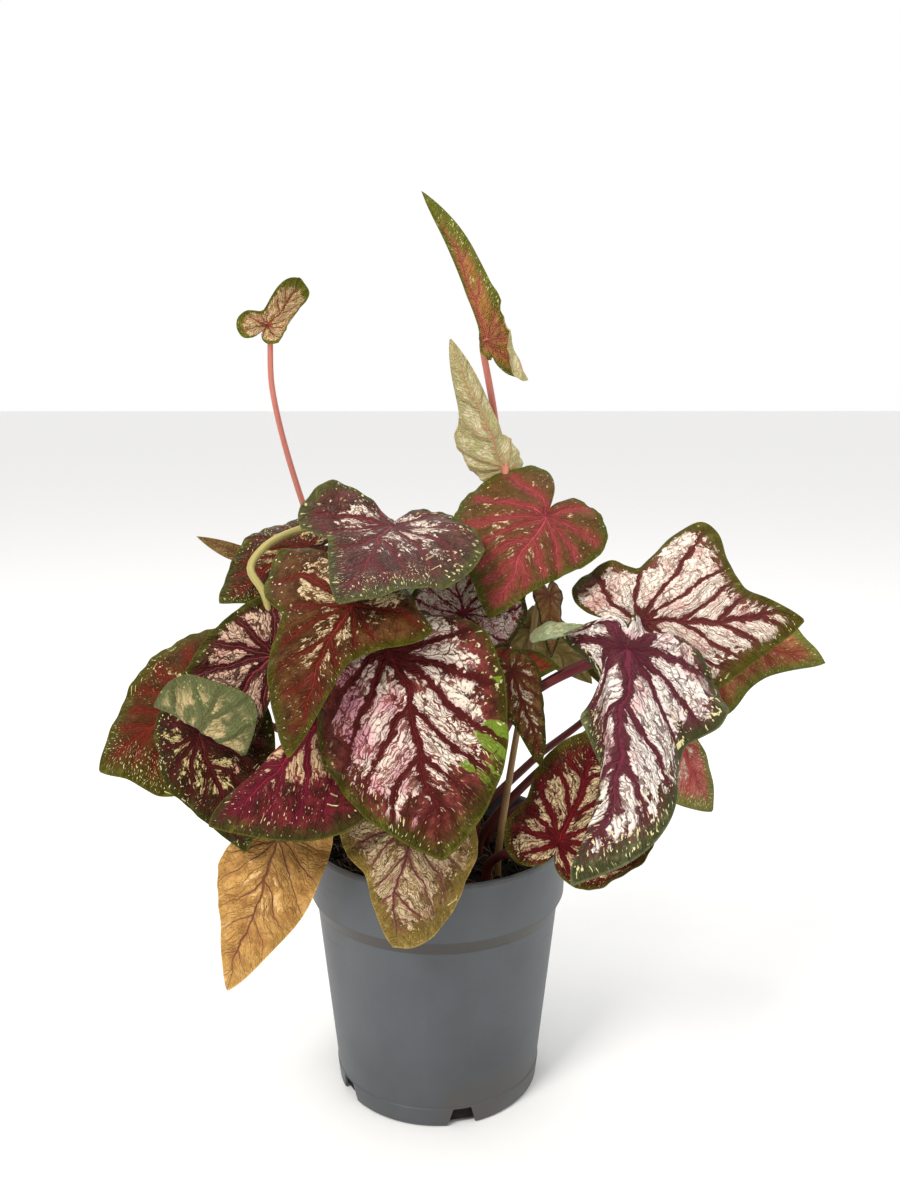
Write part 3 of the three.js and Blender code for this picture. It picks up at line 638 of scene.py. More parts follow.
leafShapes = dict(
    front_centre=dict(at=(-17, -68, 223), tip=(2, -94, 148), face=(0.05, -0.92, 0.38), foot=(-5, -20),
        left=(85, 73, 54, 36, 18, 12, 11), right=(87, 72, 57, 45, 37, 31, 24),
        bends=((90, 0.1, 0.5, 25), (-90, 0.12, 0.35, 55), (0, 0.1, 0.9, 20), (180, 0, 0.25, 70))),
    front_left_long=dict(at=(-33, -73, 244), tip=(-54, -98, 190), face=(-0.25, -0.8, 0.55),
        foot=(-12, -15), via=((-30, -42, 214), (-20, -26, 160)), left=(80, 60, 42, 66, 68, 26, 14),
        right=(52, 38, 40, 54, 52, 38, 24),
        bends=((90, 0.1, 0.3, 30), (-90, 0.1, 0.5, 20), (0, 0.1, 0.9, 25), (170, 0.1, 0.2, 65))),
    front_magenta=dict(at=(-40, -60, 206), tip=(-90, -74, 154), face=(-0.1, -0.85, 0.5), foot=(-18, -20),
        left=(66, 42, 30, 26, 24, 22, 18), right=(86, 75, 62, 50, 38, 28, 20), sweep=0.09,
        waves=(5, 0.015, 20),
        bends=((90, 0, 0.6, 20), (-90, 0.03, 0.08, 80), (0, 0.1, 0.9, 25), (180, 0.1, 0.5, 25))),
    front_wilted=dict(at=(-13, -66, 151), tip=(-18, -75, 102), face=(0.05, -0.95, 0.2), foot=(-8, -33),
        back=8, stalk=(1.8, 1.3), via=((-11, -50, 138),), left=(72, 50, 52, 56, 52, 45, 30),
        right=(95, 83, 66, 60, 52, 45, 30), waves=(6, 0.05, 20)),
    front_yellow=dict(at=(-66, -46, 136), tip=(-88, -60, 75), face=(-0.2, -0.95, 0.2), foot=(-28, -18),
        back=8, stalk=(1.8, 1.3), via=((-46, -30, 134),), left=(69, 52, 35, 30, 30, 30, 20),
        right=(71, 52, 38, 33, 34, 36, 25), waves=(6, 0.04, 60)),
    crown_top=dict(at=(-19, -28, 266), tip=(-36, -91, 246), face=(-0.1, -0.45, 0.9), foot=(-6, -6),
        via=((-12, -8, 200),), left=(66, 46, 50, 58, 47, 27, 17), right=(90, 84, 70, 58, 46, 38, 28),
        lifts=((-112, 28, 0.2), (-26, 22, 0.09)),
        bends=((90, 0.3, 0.3, 40), (0, 0.1, 0.9, 15), (180, 0.1, 0.4, 5))),
    crown_red=dict(at=(46, -12, 268), tip=(21, -47, 231), face=(-0.1, -0.8, 0.6), foot=(10, -6),
        via=((30, -6, 206),), left=(82, 72, 69, 68, 69, 64, 50), right=(73, 58, 52, 51, 46, 40, 32),
        waves=(4, 0.015, 0),
        bends=((90, 0, 0.6, 20), (-90, 0, 0.6, 20), (0, 0.1, 0.9, 25), (180, 0.1, 0.5, 5))),
    crown_mid=dict(at=(12, -34, 229), tip=(4, -16, 256), face=(0, -0.8, 0.6), foot=(4, -14), back=8,
        via=((10, -22, 195),), left=(85, 78, 80, 85, 70, 57, 45), right=(85, 74, 80, 85, 74, 55, 40)),
    right_big=dict(at=(85, -38, 228), tip=(150, -44, 229), face=(0.05, -0.8, 0.6), foot=(16, -9),
        via=((35, -24, 188),), left=(80, 67, 60, 55, 50, 45, 30), right=(71, 71, 84, 42, 52, 55, 38),
        waves=(7, 0.03, 40),
        bends=((90, 0, 0.6, 15), (-90, 0.1, 0.5, 40), (0, 0.1, 0.9, 25), (180, 0.1, 0.5, 15))),
    right_behind=dict(at=(110, -4, 214), tip=(173, -8, 202), face=(0.05, -0.7, 0.7), foot=(20, -1),
        via=((50, -2, 153), (86, -4, 182)), left=(68, 58, 64, 64, 55, 45, 30)),
    right_hanging=dict(at=(72, -70, 225), tip=(49, -106, 143), face=(0.15, -0.9, 0.4), foot=(14, -17),
        via=((35, -33, 190),), left=(62, 42, 30, 26, 40, 30, 22), right=(78, 46, 45, 46, 32, 24, 18),
        sweep=0.09, lifts=((-116, 18, 0.28),), waves=(7, 0.05, 0),
        bends=((90, 0.1, 0.5, 20), (-90, 0.03, 0.06, 85), (0, 0.1, 0.9, 15), (170, 0.06, 0.12, 80))),
    right_low=dict(at=(49, -66, 143), tip=(68, -48, 185), face=(-0.1, -0.85, 0.5), foot=(22, -30), back=8,
        via=((36, -46, 132),), left=(88, 80, 80, 80, 52, 34, 22), right=(86, 66, 44, 46, 44, 34, 22),
        bends=((90, 0.1, 0.4, 15), (-120, 0.34, 0.2, -80))),
    right_back=dict(at=(101, 5, 172), tip=(129, 5, 127), face=(0.3, -0.85, 0.4), foot=(25, 8),
        via=((64, 15, 140),), left=(82, 64, 50, 42, 40, 36, 26), right=(68, 40, 32, 32, 34, 34, 26)),
    left_folded=dict(at=(-67, -46, 216), tip=(-111, -52, 164), length=70, face=(0, -0.95, 0.3),
        foot=(-20, -9), back=6,
        via=((-34, -14, 246), (-41, -15, 261), (-50, -17, 265), (-60, -19, 263),
             (-71, -29, 258), (-76, -37, 250), (-70, -41, 240)),
        left=(95, 58, 42, 34, 34, 36, 26), right=(98, 31, 20, 20, 22, 24, 20), waves=(3, 0.02, 20),
        bends=((9, 0.55, 0.12, -160),)),
    left_far=dict(at=(-102, -11, 191), tip=(-149, -20, 157), face=(-0.2, -0.8, 0.55), foot=(-25, 3),
        via=((-62, -4, 165),), left=(80, 66, 58, 58, 56, 50, 34), right=(85, 84, 69, 44, 32, 28, 22)),
    left_low=dict(at=(-98, -39, 180), tip=(-79, -54, 134), face=(-0.2, -0.85, 0.4), foot=(-27, -6), back=6,
        via=((-62, -28, 146),), left=(74, 58, 50, 45, 45, 42, 30)),
    left_upper=dict(at=(-54, -12, 254), tip=(-90, -34, 235), face=(-0.3, -0.7, 0.6), foot=(-14, 1), back=8,
        via=((-34, 0, 200),), left=(84, 72, 66, 64, 60, 50, 34), right=(82, 68, 58, 46, 28, 20, 15)),
    left_dry_tip=dict(at=(-66, 8, 238), tip=(-106, 2, 258), face=(-0.2, -0.7, 0.7), foot=(-20, 9), back=5,
        stalk=(1.8, 1.2), via=((-46, 8, 190),), **evenOutline(45, 30, 26, 24, 24, 22, 20),
        bends=((90, 0, 0.2, -40), (-90, 0, 0.2, -40))),
    inner_mottled=dict(at=(31, -50, 208), tip=(42, -58, 172), face=(0.4, -0.85, 0.3), foot=(10, -24),
        back=6, via=((22, -38, 180),), **evenOutline(60, 42, 34, 32, 32, 30, 25)),
    inner_olive=dict(at=(43, 1, 216), tip=(71, 5, 189), face=(0.2, 0.9, 0.3), foot=(14, 4), back=6,
        via=((32, 4, 180),), **evenOutline(70, 46, 38, 36, 36, 30, 20)),
    inner_dull=dict(at=(24, -18, 203), tip=(52, -29, 206), face=(0, -0.7, 0.7), foot=(5, 4), back=8,
        via=((14, -4, 180),), **evenOutline(75, 50, 40, 38, 38, 36, 25)),
    inner_narrow=dict(at=(48, -17, 235), tip=(49, -22, 208), face=(0.5, -0.8, 0.2), foot=(27, -22), back=6,
        stalk=(1.8, 1.2), via=((33, -19, 160), (40, -13, 200)), **evenOutline(60, 38, 30, 28, 28, 26, 20)),
    tall_twisted=dict(at=(22, 16, 342), tip=(-6, 8, 404), face=(0.1, -0.9, 0.2), foot=(4, 16), back=6,
        via=((20, 18, 200), (28, 30, 296)), left=(45, 26, 22, 22, 32, 38, 28),
        right=(20, 7, 5, 5, 6, 9, 12), sweep=-0.06,
        bends=((90, 0.02, 0.1, -60), (-90, 0.11, 0.1, -150), (180, 0.1, 0.3, 20))),
    tall_rolled=dict(at=(31, 23, 286), tip=(6, 14, 344), face=(-0.2, 0.95, 0.2), foot=(10, 8), back=3,
        via=((24, 12, 200),), left=(54, 43, 30, 20, 16, 14, 12), right=(34, 24, 20, 18, 17, 15, 12),
        waves=(3, 0.01, 20), bends=((90, 0.03, 0.12, -60), (-90, 0.1, 0.15, -60))),
    tall_small=dict(at=(-72, 0, 348), tip=(-57, 0, 368), face=(-0.2, -0.85, 0.4), foot=(-8, 10), back=4,
        stalk=(1.8, 1.2), via=((-34, 20, 200), (-61, 16, 273), (-71, 5, 322)),
        left=(92, 68, 58, 50, 38, 28, 18), right=(86, 40, 28, 44, 52, 46, 36),
        bends=((60, 0.1, 0.22, -50), (-80, 0.16, 0.35, -65))),
    back_left=dict(at=(-52, 56, 222), tip=(-90, 92, 188), face=(-0.35, 0.45, 0.8), foot=(-15, 16)),
    back_mid=dict(at=(5, 58, 240), tip=(2, 108, 202), face=(0, 0.5, 0.86), foot=(-2, 22)),
    back_right=dict(at=(92, 52, 198), tip=(126, 82, 162), face=(0.35, 0.45, 0.8), foot=(17, 17),
        via=((46, 32, 142), (80, 46, 166))),
    back_low=dict(at=(-10, 62, 180), tip=(-18, 98, 130), face=(-0.1, 0.8, 0.6), foot=(-8, 30)),
)

bladeDetail = {
    "step": 1.7,               # millimetres between points along the margin
    "ringStep": 1.9,           # and from the stalk outwards
    "ringPower": 0.9,          # below 1, rings stand closer towards the margin
    "meanRadius": 0.62,        # over leaf length, for the number of rings
    "thickness": 0.5,
    "marginThickness": 0.28,
    "ribHeight": 0.5,
    "ribWidth": 0.02,          # over leaf length, as all below
    "valleyWidth": 0.045,      # how far from a vein the blade has risen
    "quilting": 0.012,         # how far it puffs up there
    "ripple": 0.009,           # small waves of the margin
    # share of that height, how steeply they fade inwards, waves in a turn, and turn between leaves
    "ripples": [(1, 5, 13, 1), (0.6, 6, 29, 2)],
    "rippleTurn": 1.7,
    "sharp": 50,               # degrees from which an edge is shaded sharp
}

veins = {
    "slope": 1.19,             # side veins leave the midrib at 40 degrees
    "step": 0.25,              # from one side vein to the next, over leaf length
    "across": 0.64,            # distance across them over distance along the midrib
    "curve": 0.7,              # how far they turn to the tip
    "rays": (66, 100, 142),    # angles of the main veins behind them
    "rayCurve": 0.30,          # how far those turn to the tip
}

stalkDetail = {
    "sides": 14,
    "step": 2.5,
    "curveSteps": 24,
    "holeFloor": 84,
    "soilHeight": 108,
    "foot": 1,                 # its foot's height above the hole's floor
    "upright": 8,              # how high above the soil it still stands upright
    "uprightLength": 14,       # how far it is straight below that
    "along": 0.4,              # where a stalk with no way given bends, over the way to its blade
    "rise": 0.2,               # and how much further up that is
    "overlap": 0.1,            # how far it reaches into the blade
    "flare": 0.18,             # how much wider it is at the blade
    "flareReach": 2.5,
    "ridges": 3,
    "ridgeHeight": 0.04,
}


def smoothThrough(stations, values, at):
    # a smooth curve through values given at rising stations
    stations, values = np.array(stations, float), np.array(values, float)
    i = np.clip(np.searchsorted(stations, at) - 1, 0, len(stations) - 2)
    inner = (values[2:] - values[:-2]) / (stations[2:] - stations[:-2])
    first = (values[1] - values[0]) / (stations[1] - stations[0])
    last = (values[-1] - values[-2]) / (stations[-1] - stations[-2])
    slopes = np.concatenate([[first], inner, [last]])
    span = stations[i + 1] - stations[i]
    t = (at - stations[i]) / span
    keep = (1 + 2 * t) * (1 - t) ** 2
    return (keep * values[i] + (1 - keep) * values[i + 1]
            + span * t * (1 - t) * ((1 - t) * slopes[i] - t * slopes[i + 1]))


def outlineRadius(leaf, angle):
    left, right = (np.array((100, *leaf[side], leaf["notch"])) / 100 for side in ("left", "right"))
    return np.where(angle >= 0, smoothThrough(outlineAngles, right, np.abs(angle)),
                    smoothThrough(outlineAngles, left, np.abs(angle)))


def around(radius, degrees):
    return radius * np.cos(np.radians(degrees)), radius * np.sin(np.radians(degrees))


def rollBlade(x, y, z, direction, start, distance, degrees):
    # rolls what lies beyond a line across the blade round a cylinder
    turn = math.radians(degrees)
    cos, sin = math.cos(math.radians(direction)), math.sin(math.radians(direction))
    past = x * cos + y * sin - start
    beside = y * cos - x * sin
    angle = np.clip(past / distance, 0, 1) * turn
    straight = np.maximum(past - distance, 0)
    radius = distance / turn
    reach = start + (radius + z) * np.sin(angle) + straight * np.cos(angle)
    height = (radius + z) * np.cos(angle) - radius - straight * np.sin(angle)
    rolled = past > 0
    return (np.where(rolled, reach * cos - beside * sin, x), np.where(rolled, reach * sin + beside * cos, y),
            np.where(rolled, height, z))


def veinDistance(x, y):
    # distance from the nearest main vein, over leaf length, in the flat blade
    beside = np.abs(y)
    radius = np.hypot(x, y)
    angle = np.degrees(np.arctan2(beside, x))
    forward = x - veins["slope"] * beside - veins["curve"] * beside ** 2
    comb = forward / veins["step"]
    lateral = np.abs(comb - np.round(comb)) * veins["step"] * veins["across"]
    lateral = np.where(comb > -0.5, lateral, 1)
    nearest = np.minimum(beside + np.maximum(-x, 0), lateral)
    for ray in veins["rays"]:
        turned = ray - np.degrees(veins["rayCurve"] * radius)
        nearest = np.minimum(nearest, radius * np.radians(np.abs(angle - turned)))
    return nearest


def bladePoints(leaf, share, angle, phase=0.0, fine=True):
    # points of the blade's middle surface over leaf length, and their places in the flat blade
    x, y = around(share * outlineRadius(leaf, angle), angle)
    flat = np.stack([x, y, share + 0 * x], 1)
    count, height, start = leaf["waves"]
    z = height * share ** 3 * np.sin(np.radians(count * angle + start))
    for middle, spread, lift in leaf["lifts"]:
        z = z + lift * share ** 2 * np.exp(-((angle - middle) / spread) ** 2)
    if fine:
        puff = 1 - np.exp(-(veinDistance(x, y) / bladeDetail["valleyWidth"]) ** 2)
        z = z + bladeDetail["quilting"] * puff * (1 - share ** 4)
        for part, power, count, turn in bladeDetail["ripples"]:
            wave = np.sin(np.radians(count * angle) + turn * phase)
            z = z + part * bladeDetail["ripple"] * share ** power * wave
    for roll in leaf["bends"]:
        x, y, z = rollBlade(x, y, z, *roll)
    along = np.clip(x, 0, 1)
    y = y + leaf["sweep"] * 4 * along * (1 - along)
    return np.stack([x, y, z], 1), flat


def squareFrame(forward, upward):
    x = Vector(forward).normalized()
    z = (Vector(upward) - x * Vector(upward).dot(x)).normalized()
    return np.array([x, z.cross(x), z]).T


def bladePlace(leaf):
    # turn and size that bring the blade from its own frame into its place
    toTip = Vector(leaf["tip"]) - Vector(leaf["at"])
    ownTip = Vector((1, 0, 0))
    if not leaf["length"]:
        points, _ = bladePoints(leaf, np.array([1.0]), np.array([0.0]), fine=False)
        ownTip = Vector(points[0])
    size = leaf["length"] or toTip.length / ownTip.length
    turn = squareFrame(toTip, leaf["face"]) @ squareFrame(ownTip, (0, 0, 1)).T
    return turn, size


def lengthAlong(points):
    return np.concatenate([[0], np.cumsum(np.linalg.norm(np.diff(points, axis=0), axis=1))])


def marginAngles(leaf, size):
    # angles from -180 to 180 whose points stand evenly along the margin
    angle = np.linspace(-180, 180, 1441)
    along = lengthAlong(np.stack(around(outlineRadius(leaf, angle) * size, angle), 1))
    count = 2 * round(along[-1] / bladeDetail["step"] / 2)
    return np.interp(np.arange(count) / count * along[-1], along, angle)


def blade(leaf, turn, size, phase):
    # upper and lower faces with the same points, joined round the margin
    angles = marginAngles(leaf, size)
    rings = max(8, round(bladeDetail["meanRadius"] * size / bladeDetail["ringStep"]))
    shares = np.linspace(0, 1, rings + 1)[1:] ** bladeDetail["ringPower"]
    share = np.concatenate([[0.0], np.repeat(shares, len(angles))])
    angle = np.concatenate([[0.0], np.tile(angles, rings)])
    own, flat = bladePoints(leaf, share, angle, phase)
    middle = own @ turn.T * size + np.array(leaf["at"])
    count = len(angles)
    faces = [(0, 1 + j, 1 + (j + 1) % count) for j in range(count)]
    for i in range(rings - 1):
        first = 1 + i * count
        for j in range(count):
            a, b = first + j, first + (j + 1) % count
            faces.append((a, a + count, b + count, b))
    normals = pointNormals(middle, faces)
    rib = np.exp(-(veinDistance(flat[:, 0], flat[:, 1]) / bladeDetail["ribWidth"]) ** 2) * (1 - share)
    thick, thin = bladeDetail["thickness"] / 2, bladeDetail["marginThickness"] / 2
    half = thick * (1 - share ** 6) + thin * share ** 6
    upper = middle + normals * half[:, None]
    lower = middle - normals * (half + bladeDetail["ribHeight"] * rib)[:, None]
    total = len(middle)
    under = [tuple(total + corner for corner in reversed(face)) for face in faces]
    last = total - count
    rim = [(last + j, total + last + j, total + last + (j + 1) % count, last + (j + 1) % count)
           for j in range(count)]
    return np.concatenate([upper, lower]), np.concatenate([flat, flat]), faces, under, rim


def pointNormals(points, faces):
    # mean normal of the faces round each point
    normals = np.zeros_like(points)
    quads = np.array([face if len(face) == 4 else (*face, face[0]) for face in faces])
    across = np.cross(points[quads[:, 2]] - points[quads[:, 0]], points[quads[:, 3]] - points[quads[:, 1]])
    triangle = quads[:, 3] == quads[:, 0]
    across[triangle] = np.cross(points[quads[triangle, 1]] - points[quads[triangle, 0]],
                                points[quads[triangle, 2]] - points[quads[triangle, 0]])
    for corner in range(4):
        np.add.at(normals, quads[:, corner], across)
    return normals / np.maximum(np.linalg.norm(normals, axis=1), 1e-12)[:, None]


def stalkLine(leaf, turn):
    # points close together along the stalk's curve, from the foot in its hole to the blade
    at, up = np.array(leaf["at"], float), turn @ (0, 0, 1)
    top = stalkDetail["soilHeight"] + stalkDetail["upright"]
    heights = (stalkDetail["holeFloor"] + stalkDetail["foot"], top - stalkDetail["uprightLength"], top)
    foot = [np.array((*leaf["foot"], height), float) for height in heights]
    route = [np.array(place, float) for place in leaf["via"]]
    if not route:
        rise = (0, 0, (at[2] - top) * stalkDetail["rise"])
        route = [foot[-1] + (at - foot[-1]) * stalkDetail["along"] + rise]
    knots = [*foot, *route, at - up * leaf["back"], at + up * stalkDetail["overlap"]]
    knots = [2 * knots[0] - knots[1], *knots, 2 * knots[-1] - knots[-2]]
    steps = stalkDetail["curveSteps"]
    line = [curvePoint(*four, t) for four in zip(knots, knots[1:], knots[2:], knots[3:])
            for t in np.arange(steps) / steps]
    return np.array([*line, knots[-2]])


def curvePoint(a, b, c, d, t):
    # centripetal Catmull-Rom curve between b and c
    ab, bc, cd = (math.sqrt(np.linalg.norm(q - p)) for p, q in ((a, b), (b, c), (c, d)))
    start = ((b - a) / ab - (c - a) / (ab + bc) + (c - b) / bc) * bc
    end = ((c - b) / bc - (d - b) / (bc + cd) + (d - c) / cd) * bc
    return (b + start * t + (3 * (c - b) - 2 * start - end) * t ** 2
            + (2 * (b - c) + start + end) * t ** 3)


def stalk(leaf, turn, firstPoint):
    # a tube with even steps, wider where it leaves the soil and where it joins the blade
    line = stalkLine(leaf, turn)
    along = lengthAlong(line)
    steps = max(10, round(along[-1] / stalkDetail["step"]))
    stations = np.linspace(0, along[-1], steps + 1)
    line = np.stack([np.interp(stations, along, line[:, axis]) for axis in range(3)], 1)
    forward = np.gradient(line, axis=0)
    forward /= np.linalg.norm(forward, axis=1)[:, None]
    side = np.cross(forward[0], (0, 1, 0))
    sides = stalkDetail["sides"]
    atFoot, atBlade = leaf["stalk"]
    points, marks = [], []
    for i in range(steps + 1):
        side = side - forward[i] * (side @ forward[i])
        side /= np.linalg.norm(side)
        other = np.cross(forward[i], side)
        part = i / steps
        fromBlade = (stations[-1] - stations[i]) / stalkDetail["flareReach"]
        radius = atFoot * (1 - part) + atBlade * part
        radius *= 1 + stalkDetail["flare"] * math.exp(-fromBlade ** 2)
        for j in range(sides):
            angle = 2 * math.pi * j / sides
            ring = radius * (1 + stalkDetail["ridgeHeight"] * math.cos(stalkDetail["ridges"] * angle))
            points.append(line[i] + (side * math.cos(angle) + other * math.sin(angle)) * ring)
            marks.append((math.cos(angle), math.sin(angle), part))
    return np.array(points), np.array(marks), tubeFaces(firstPoint, steps, sides)


def addMarks(mesh, name, values):
    marks = mesh.attributes.new(name, "FLOAT_VECTOR", "POINT")
    marks.data.foreach_set("vector", np.asarray(values, np.float32).ravel())


def makeLeaf(name, order):
    leaf = {**commonLeaf, **leafShapes[name]}
    turn, size = bladePlace(leaf)
    points, flat, upper, under, rim = blade(leaf, turn, size, order * bladeDetail["rippleTurn"])
    tube, marks, tubeSides = stalk(leaf, turn, len(points))
    piece = newObject(name + "_leaf", bpy.data.meshes.new(name + "_leaf"))
    mesh = piece.data
    fillMesh(mesh, np.concatenate([points, tube]) * mm, upper + rim + under + tubeSides)
    slots = [0] * len(upper + rim) + [1] * len(under) + [2] * len(tubeSides)
    mesh.polygons.foreach_set("material_index", slots)
    addMarks(mesh, "flatBlade", np.concatenate([flat, np.zeros_like(tube)]))
    addMarks(mesh, "alongStalk", np.concatenate([np.zeros_like(points), marks]))
    finishPiece(piece, leafMaterials(name, order), name, name, sharp=bladeDetail["sharp"])
    return sum(len(face.vertices) - 2 for face in mesh.polygons)


# Leaf finishes, read from the photo
# body, dark: the blade's own colour; halo, vein: round and on the main veins
# patch, blush: pale patches between the veins and their pink; margin, rimPale: green edge; fleck: its dots
# patches, pinkness, flecks, lime, net: how much of each, 0 to 1; blushSide: -1 left, 1 right, 0 both
# patchReach: how far out the patches go; marginWidth, haloWidth: over leaf length
# drawn: how far the patches are drawn out along the side veins

commonLook = dict(
    body=(104, 54, 36), dark=(64, 28, 14), halo=(76, 20, 20), vein=(112, 28, 36), patch=(236, 218, 190),
    blush=(204, 104, 122), margin=(56, 56, 6), rimPale=(98, 98, 30), fleck=(222, 212, 156),
    limeTone=(118, 146, 44), patches=0.5, patchReach=0.7, pinkness=0.35, blushSide=0, marginWidth=0.08,
    drawn=0.2, flecks=0.5, lime=0.0, haloWidth=0.028, net=0.9, rough=0.38, gloss=0.09, under="mint",
    stalk="burgundy")

leafLooks = dict(
    front_centre=dict(body=(130, 58, 52), dark=(70, 30, 18), halo=(72, 18, 14), vein=(100, 26, 32),
        patch=(242, 226, 206), blush=(202, 90, 134), margin=(62, 56, 6), patches=0.8, patchReach=0.68,
        pinkness=0.95, blushSide=-1, lime=0.8, flecks=0.6, marginWidth=0.06, haloWidth=0.024),
    front_left_long=dict(body=(98, 62, 28), dark=(62, 32, 8), halo=(86, 30, 14), vein=(134, 36, 28),
        patch=(218, 194, 150), blush=(176, 100, 76), margin=(68, 62, 6), patches=0.6, drawn=0.5,
        patchReach=0.62, pinkness=0.1, stalk="olive"),
    front_magenta=dict(body=(118, 36, 42), dark=(50, 18, 6), halo=(92, 20, 34), vein=(140, 32, 50),
        patch=(208, 178, 134), blush=(164, 58, 92), margin=(58, 50, 16), patches=0.52, drawn=0.5,
        patchReach=0.6, pinkness=0.3, marginWidth=0.06),
    front_wilted=dict(body=(136, 104, 62), dark=(78, 54, 24), halo=(134, 92, 68), vein=(116, 44, 66),
        patch=(210, 184, 144), blush=(176, 92, 104), margin=(134, 110, 50), rimPale=(186, 160, 96),
        patches=0.7, patchReach=0.85, pinkness=0.5, flecks=0.3, haloWidth=0.018, marginWidth=0.16,
        rough=0.6, under="straw", stalk="tan"),
    front_yellow=dict(body=(204, 156, 90), dark=(164, 116, 62), halo=(176, 124, 74), vein=(128, 80, 58),
        patch=(228, 188, 126), blush=(196, 138, 92), margin=(190, 144, 78), rimPale=(226, 188, 126),
        patches=0.35, pinkness=0.2, flecks=0.1, haloWidth=0.012, net=0.4, rough=0.6, under="straw",
        stalk="tan"),
    crown_top=dict(body=(94, 46, 38), dark=(58, 26, 12), halo=(88, 28, 28), vein=(132, 40, 46),
        patch=(240, 222, 200), blush=(186, 116, 118), margin=(64, 62, 18), patches=0.62, patchReach=0.6,
        pinkness=0.15, drawn=1.0, flecks=0.8, rough=0.34, gloss=0.2),
    crown_red=dict(body=(104, 72, 34), dark=(82, 58, 22), halo=(146, 58, 56), vein=(196, 78, 88),
        patch=(218, 194, 152), blush=(184, 90, 80), margin=(74, 76, 14), patches=0.36, drawn=0.8,
        pinkness=0.4, flecks=0.3, haloWidth=0.04, rough=0.42, marginWidth=0.05),
    crown_mid=dict(body=(140, 70, 56), dark=(88, 34, 20), halo=(110, 32, 42), vein=(150, 40, 62),
        patch=(250, 230, 214), blush=(226, 134, 166), patches=0.95, patchReach=0.9, pinkness=0.6,
        haloWidth=0.018),
    right_big=dict(body=(122, 72, 56), dark=(86, 46, 30), halo=(96, 42, 38), vein=(108, 38, 44),
        patch=(250, 234, 216), blush=(226, 160, 150), margin=(76, 68, 12), patches=0.95, patchReach=0.84,
        pinkness=0.6, flecks=0.4, haloWidth=0.024, marginWidth=0.1, net=0.6),
    right_behind=dict(body=(178, 112, 76), dark=(134, 84, 46), halo=(140, 64, 44), vein=(156, 62, 50),
        margin=(108, 112, 42), patches=0.7),
    right_hanging=dict(body=(102, 62, 60), dark=(70, 42, 32), halo=(88, 38, 46), vein=(110, 42, 58),
        patch=(244, 234, 222), blush=(222, 150, 156), margin=(62, 64, 34), rimPale=(114, 116, 78),
        patches=0.84, patchReach=0.72, pinkness=0.6, flecks=0.9, haloWidth=0.022, marginWidth=0.11,
        net=0.75),
    right_low=dict(body=(98, 38, 26), dark=(52, 14, 6), halo=(92, 16, 20), vein=(132, 24, 34),
        patch=(218, 194, 148), margin=(80, 70, 16), patches=0.78, patchReach=0.72, drawn=0.4, pinkness=0.2),
    right_back=dict(body=(204, 112, 106), dark=(172, 92, 80), halo=(180, 80, 74), vein=(204, 84, 92),
        margin=(124, 122, 58), patches=0.35, flecks=0.9, marginWidth=0.16),
    left_folded=dict(body=(82, 42, 30), dark=(52, 28, 12), halo=(72, 26, 26), vein=(146, 62, 66),
        patch=(222, 186, 158), blush=(206, 124, 120), patches=0.8, patchReach=0.75, pinkness=0.5,
        margin=(60, 60, 12), under="folded", stalk="olive"),
    left_far=dict(body=(88, 46, 10), dark=(60, 36, 2), halo=(102, 32, 16), vein=(140, 42, 26),
        patch=(216, 204, 140), margin=(72, 64, 4), patches=0.4, flecks=0.9, drawn=0.8, marginWidth=0.14,
        haloWidth=0.036),
    left_low=dict(body=(66, 32, 6), dark=(36, 18, 0), halo=(66, 16, 12), vein=(100, 26, 26),
        patch=(208, 190, 130), margin=(50, 48, 2), patches=0.42, drawn=0.5, flecks=0.7),
    left_upper=dict(body=(78, 40, 6), dark=(44, 24, 0), halo=(98, 30, 14), vein=(136, 40, 28),
        patch=(214, 194, 136), patches=0.48, drawn=0.7, flecks=0.8, margin=(58, 56, 2)),
    left_dry_tip=dict(body=(164, 136, 88), dark=(118, 88, 42), halo=(128, 92, 54), vein=(130, 78, 46),
        margin=(132, 104, 58), rimPale=(180, 156, 112), patches=0.1, rough=0.6, under="straw", stalk="tan"),
    inner_mottled=dict(body=(132, 94, 50), dark=(70, 46, 18), halo=(92, 44, 22), patches=0.65,
        pinkness=0.1),
    inner_olive=dict(body=(160, 124, 56), dark=(126, 92, 36), halo=(142, 98, 44), vein=(150, 84, 50),
        margin=(124, 124, 44), patches=0.15, under="olive", stalk="tan"),
    inner_dull=dict(body=(186, 78, 48), dark=(146, 76, 38), halo=(150, 58, 36), vein=(170, 60, 44),
        margin=(84, 100, 30), patches=0.2, stalk="red"),
    inner_narrow=dict(body=(196, 144, 96), dark=(158, 116, 62), halo=(150, 100, 66), vein=(160, 80, 60),
        patches=0.3, stalk="tan"),
    tall_twisted=dict(body=(172, 116, 66), dark=(146, 112, 50), halo=(176, 108, 76), vein=(182, 92, 76),
        patch=(216, 190, 130), margin=(106, 108, 36), patches=0.25, flecks=0.8, marginWidth=0.36,
        haloWidth=0.02, under="pale", stalk="salmon"),
    tall_rolled=dict(body=(134, 76, 46), dark=(90, 72, 26), patch=(216, 200, 140), margin=(82, 90, 30),
        patches=0.2, flecks=0.8, marginWidth=0.3, under="pale", stalk="salmon"),
    tall_small=dict(body=(164, 120, 68), dark=(126, 88, 38), halo=(158, 88, 58), vein=(152, 66, 50),
        patch=(236, 206, 158), blush=(208, 136, 100), margin=(104, 106, 28), patches=0.8, patchReach=0.8,
        pinkness=0.5, marginWidth=0.24, haloWidth=0.014, under="pale", stalk="salmon"),
)

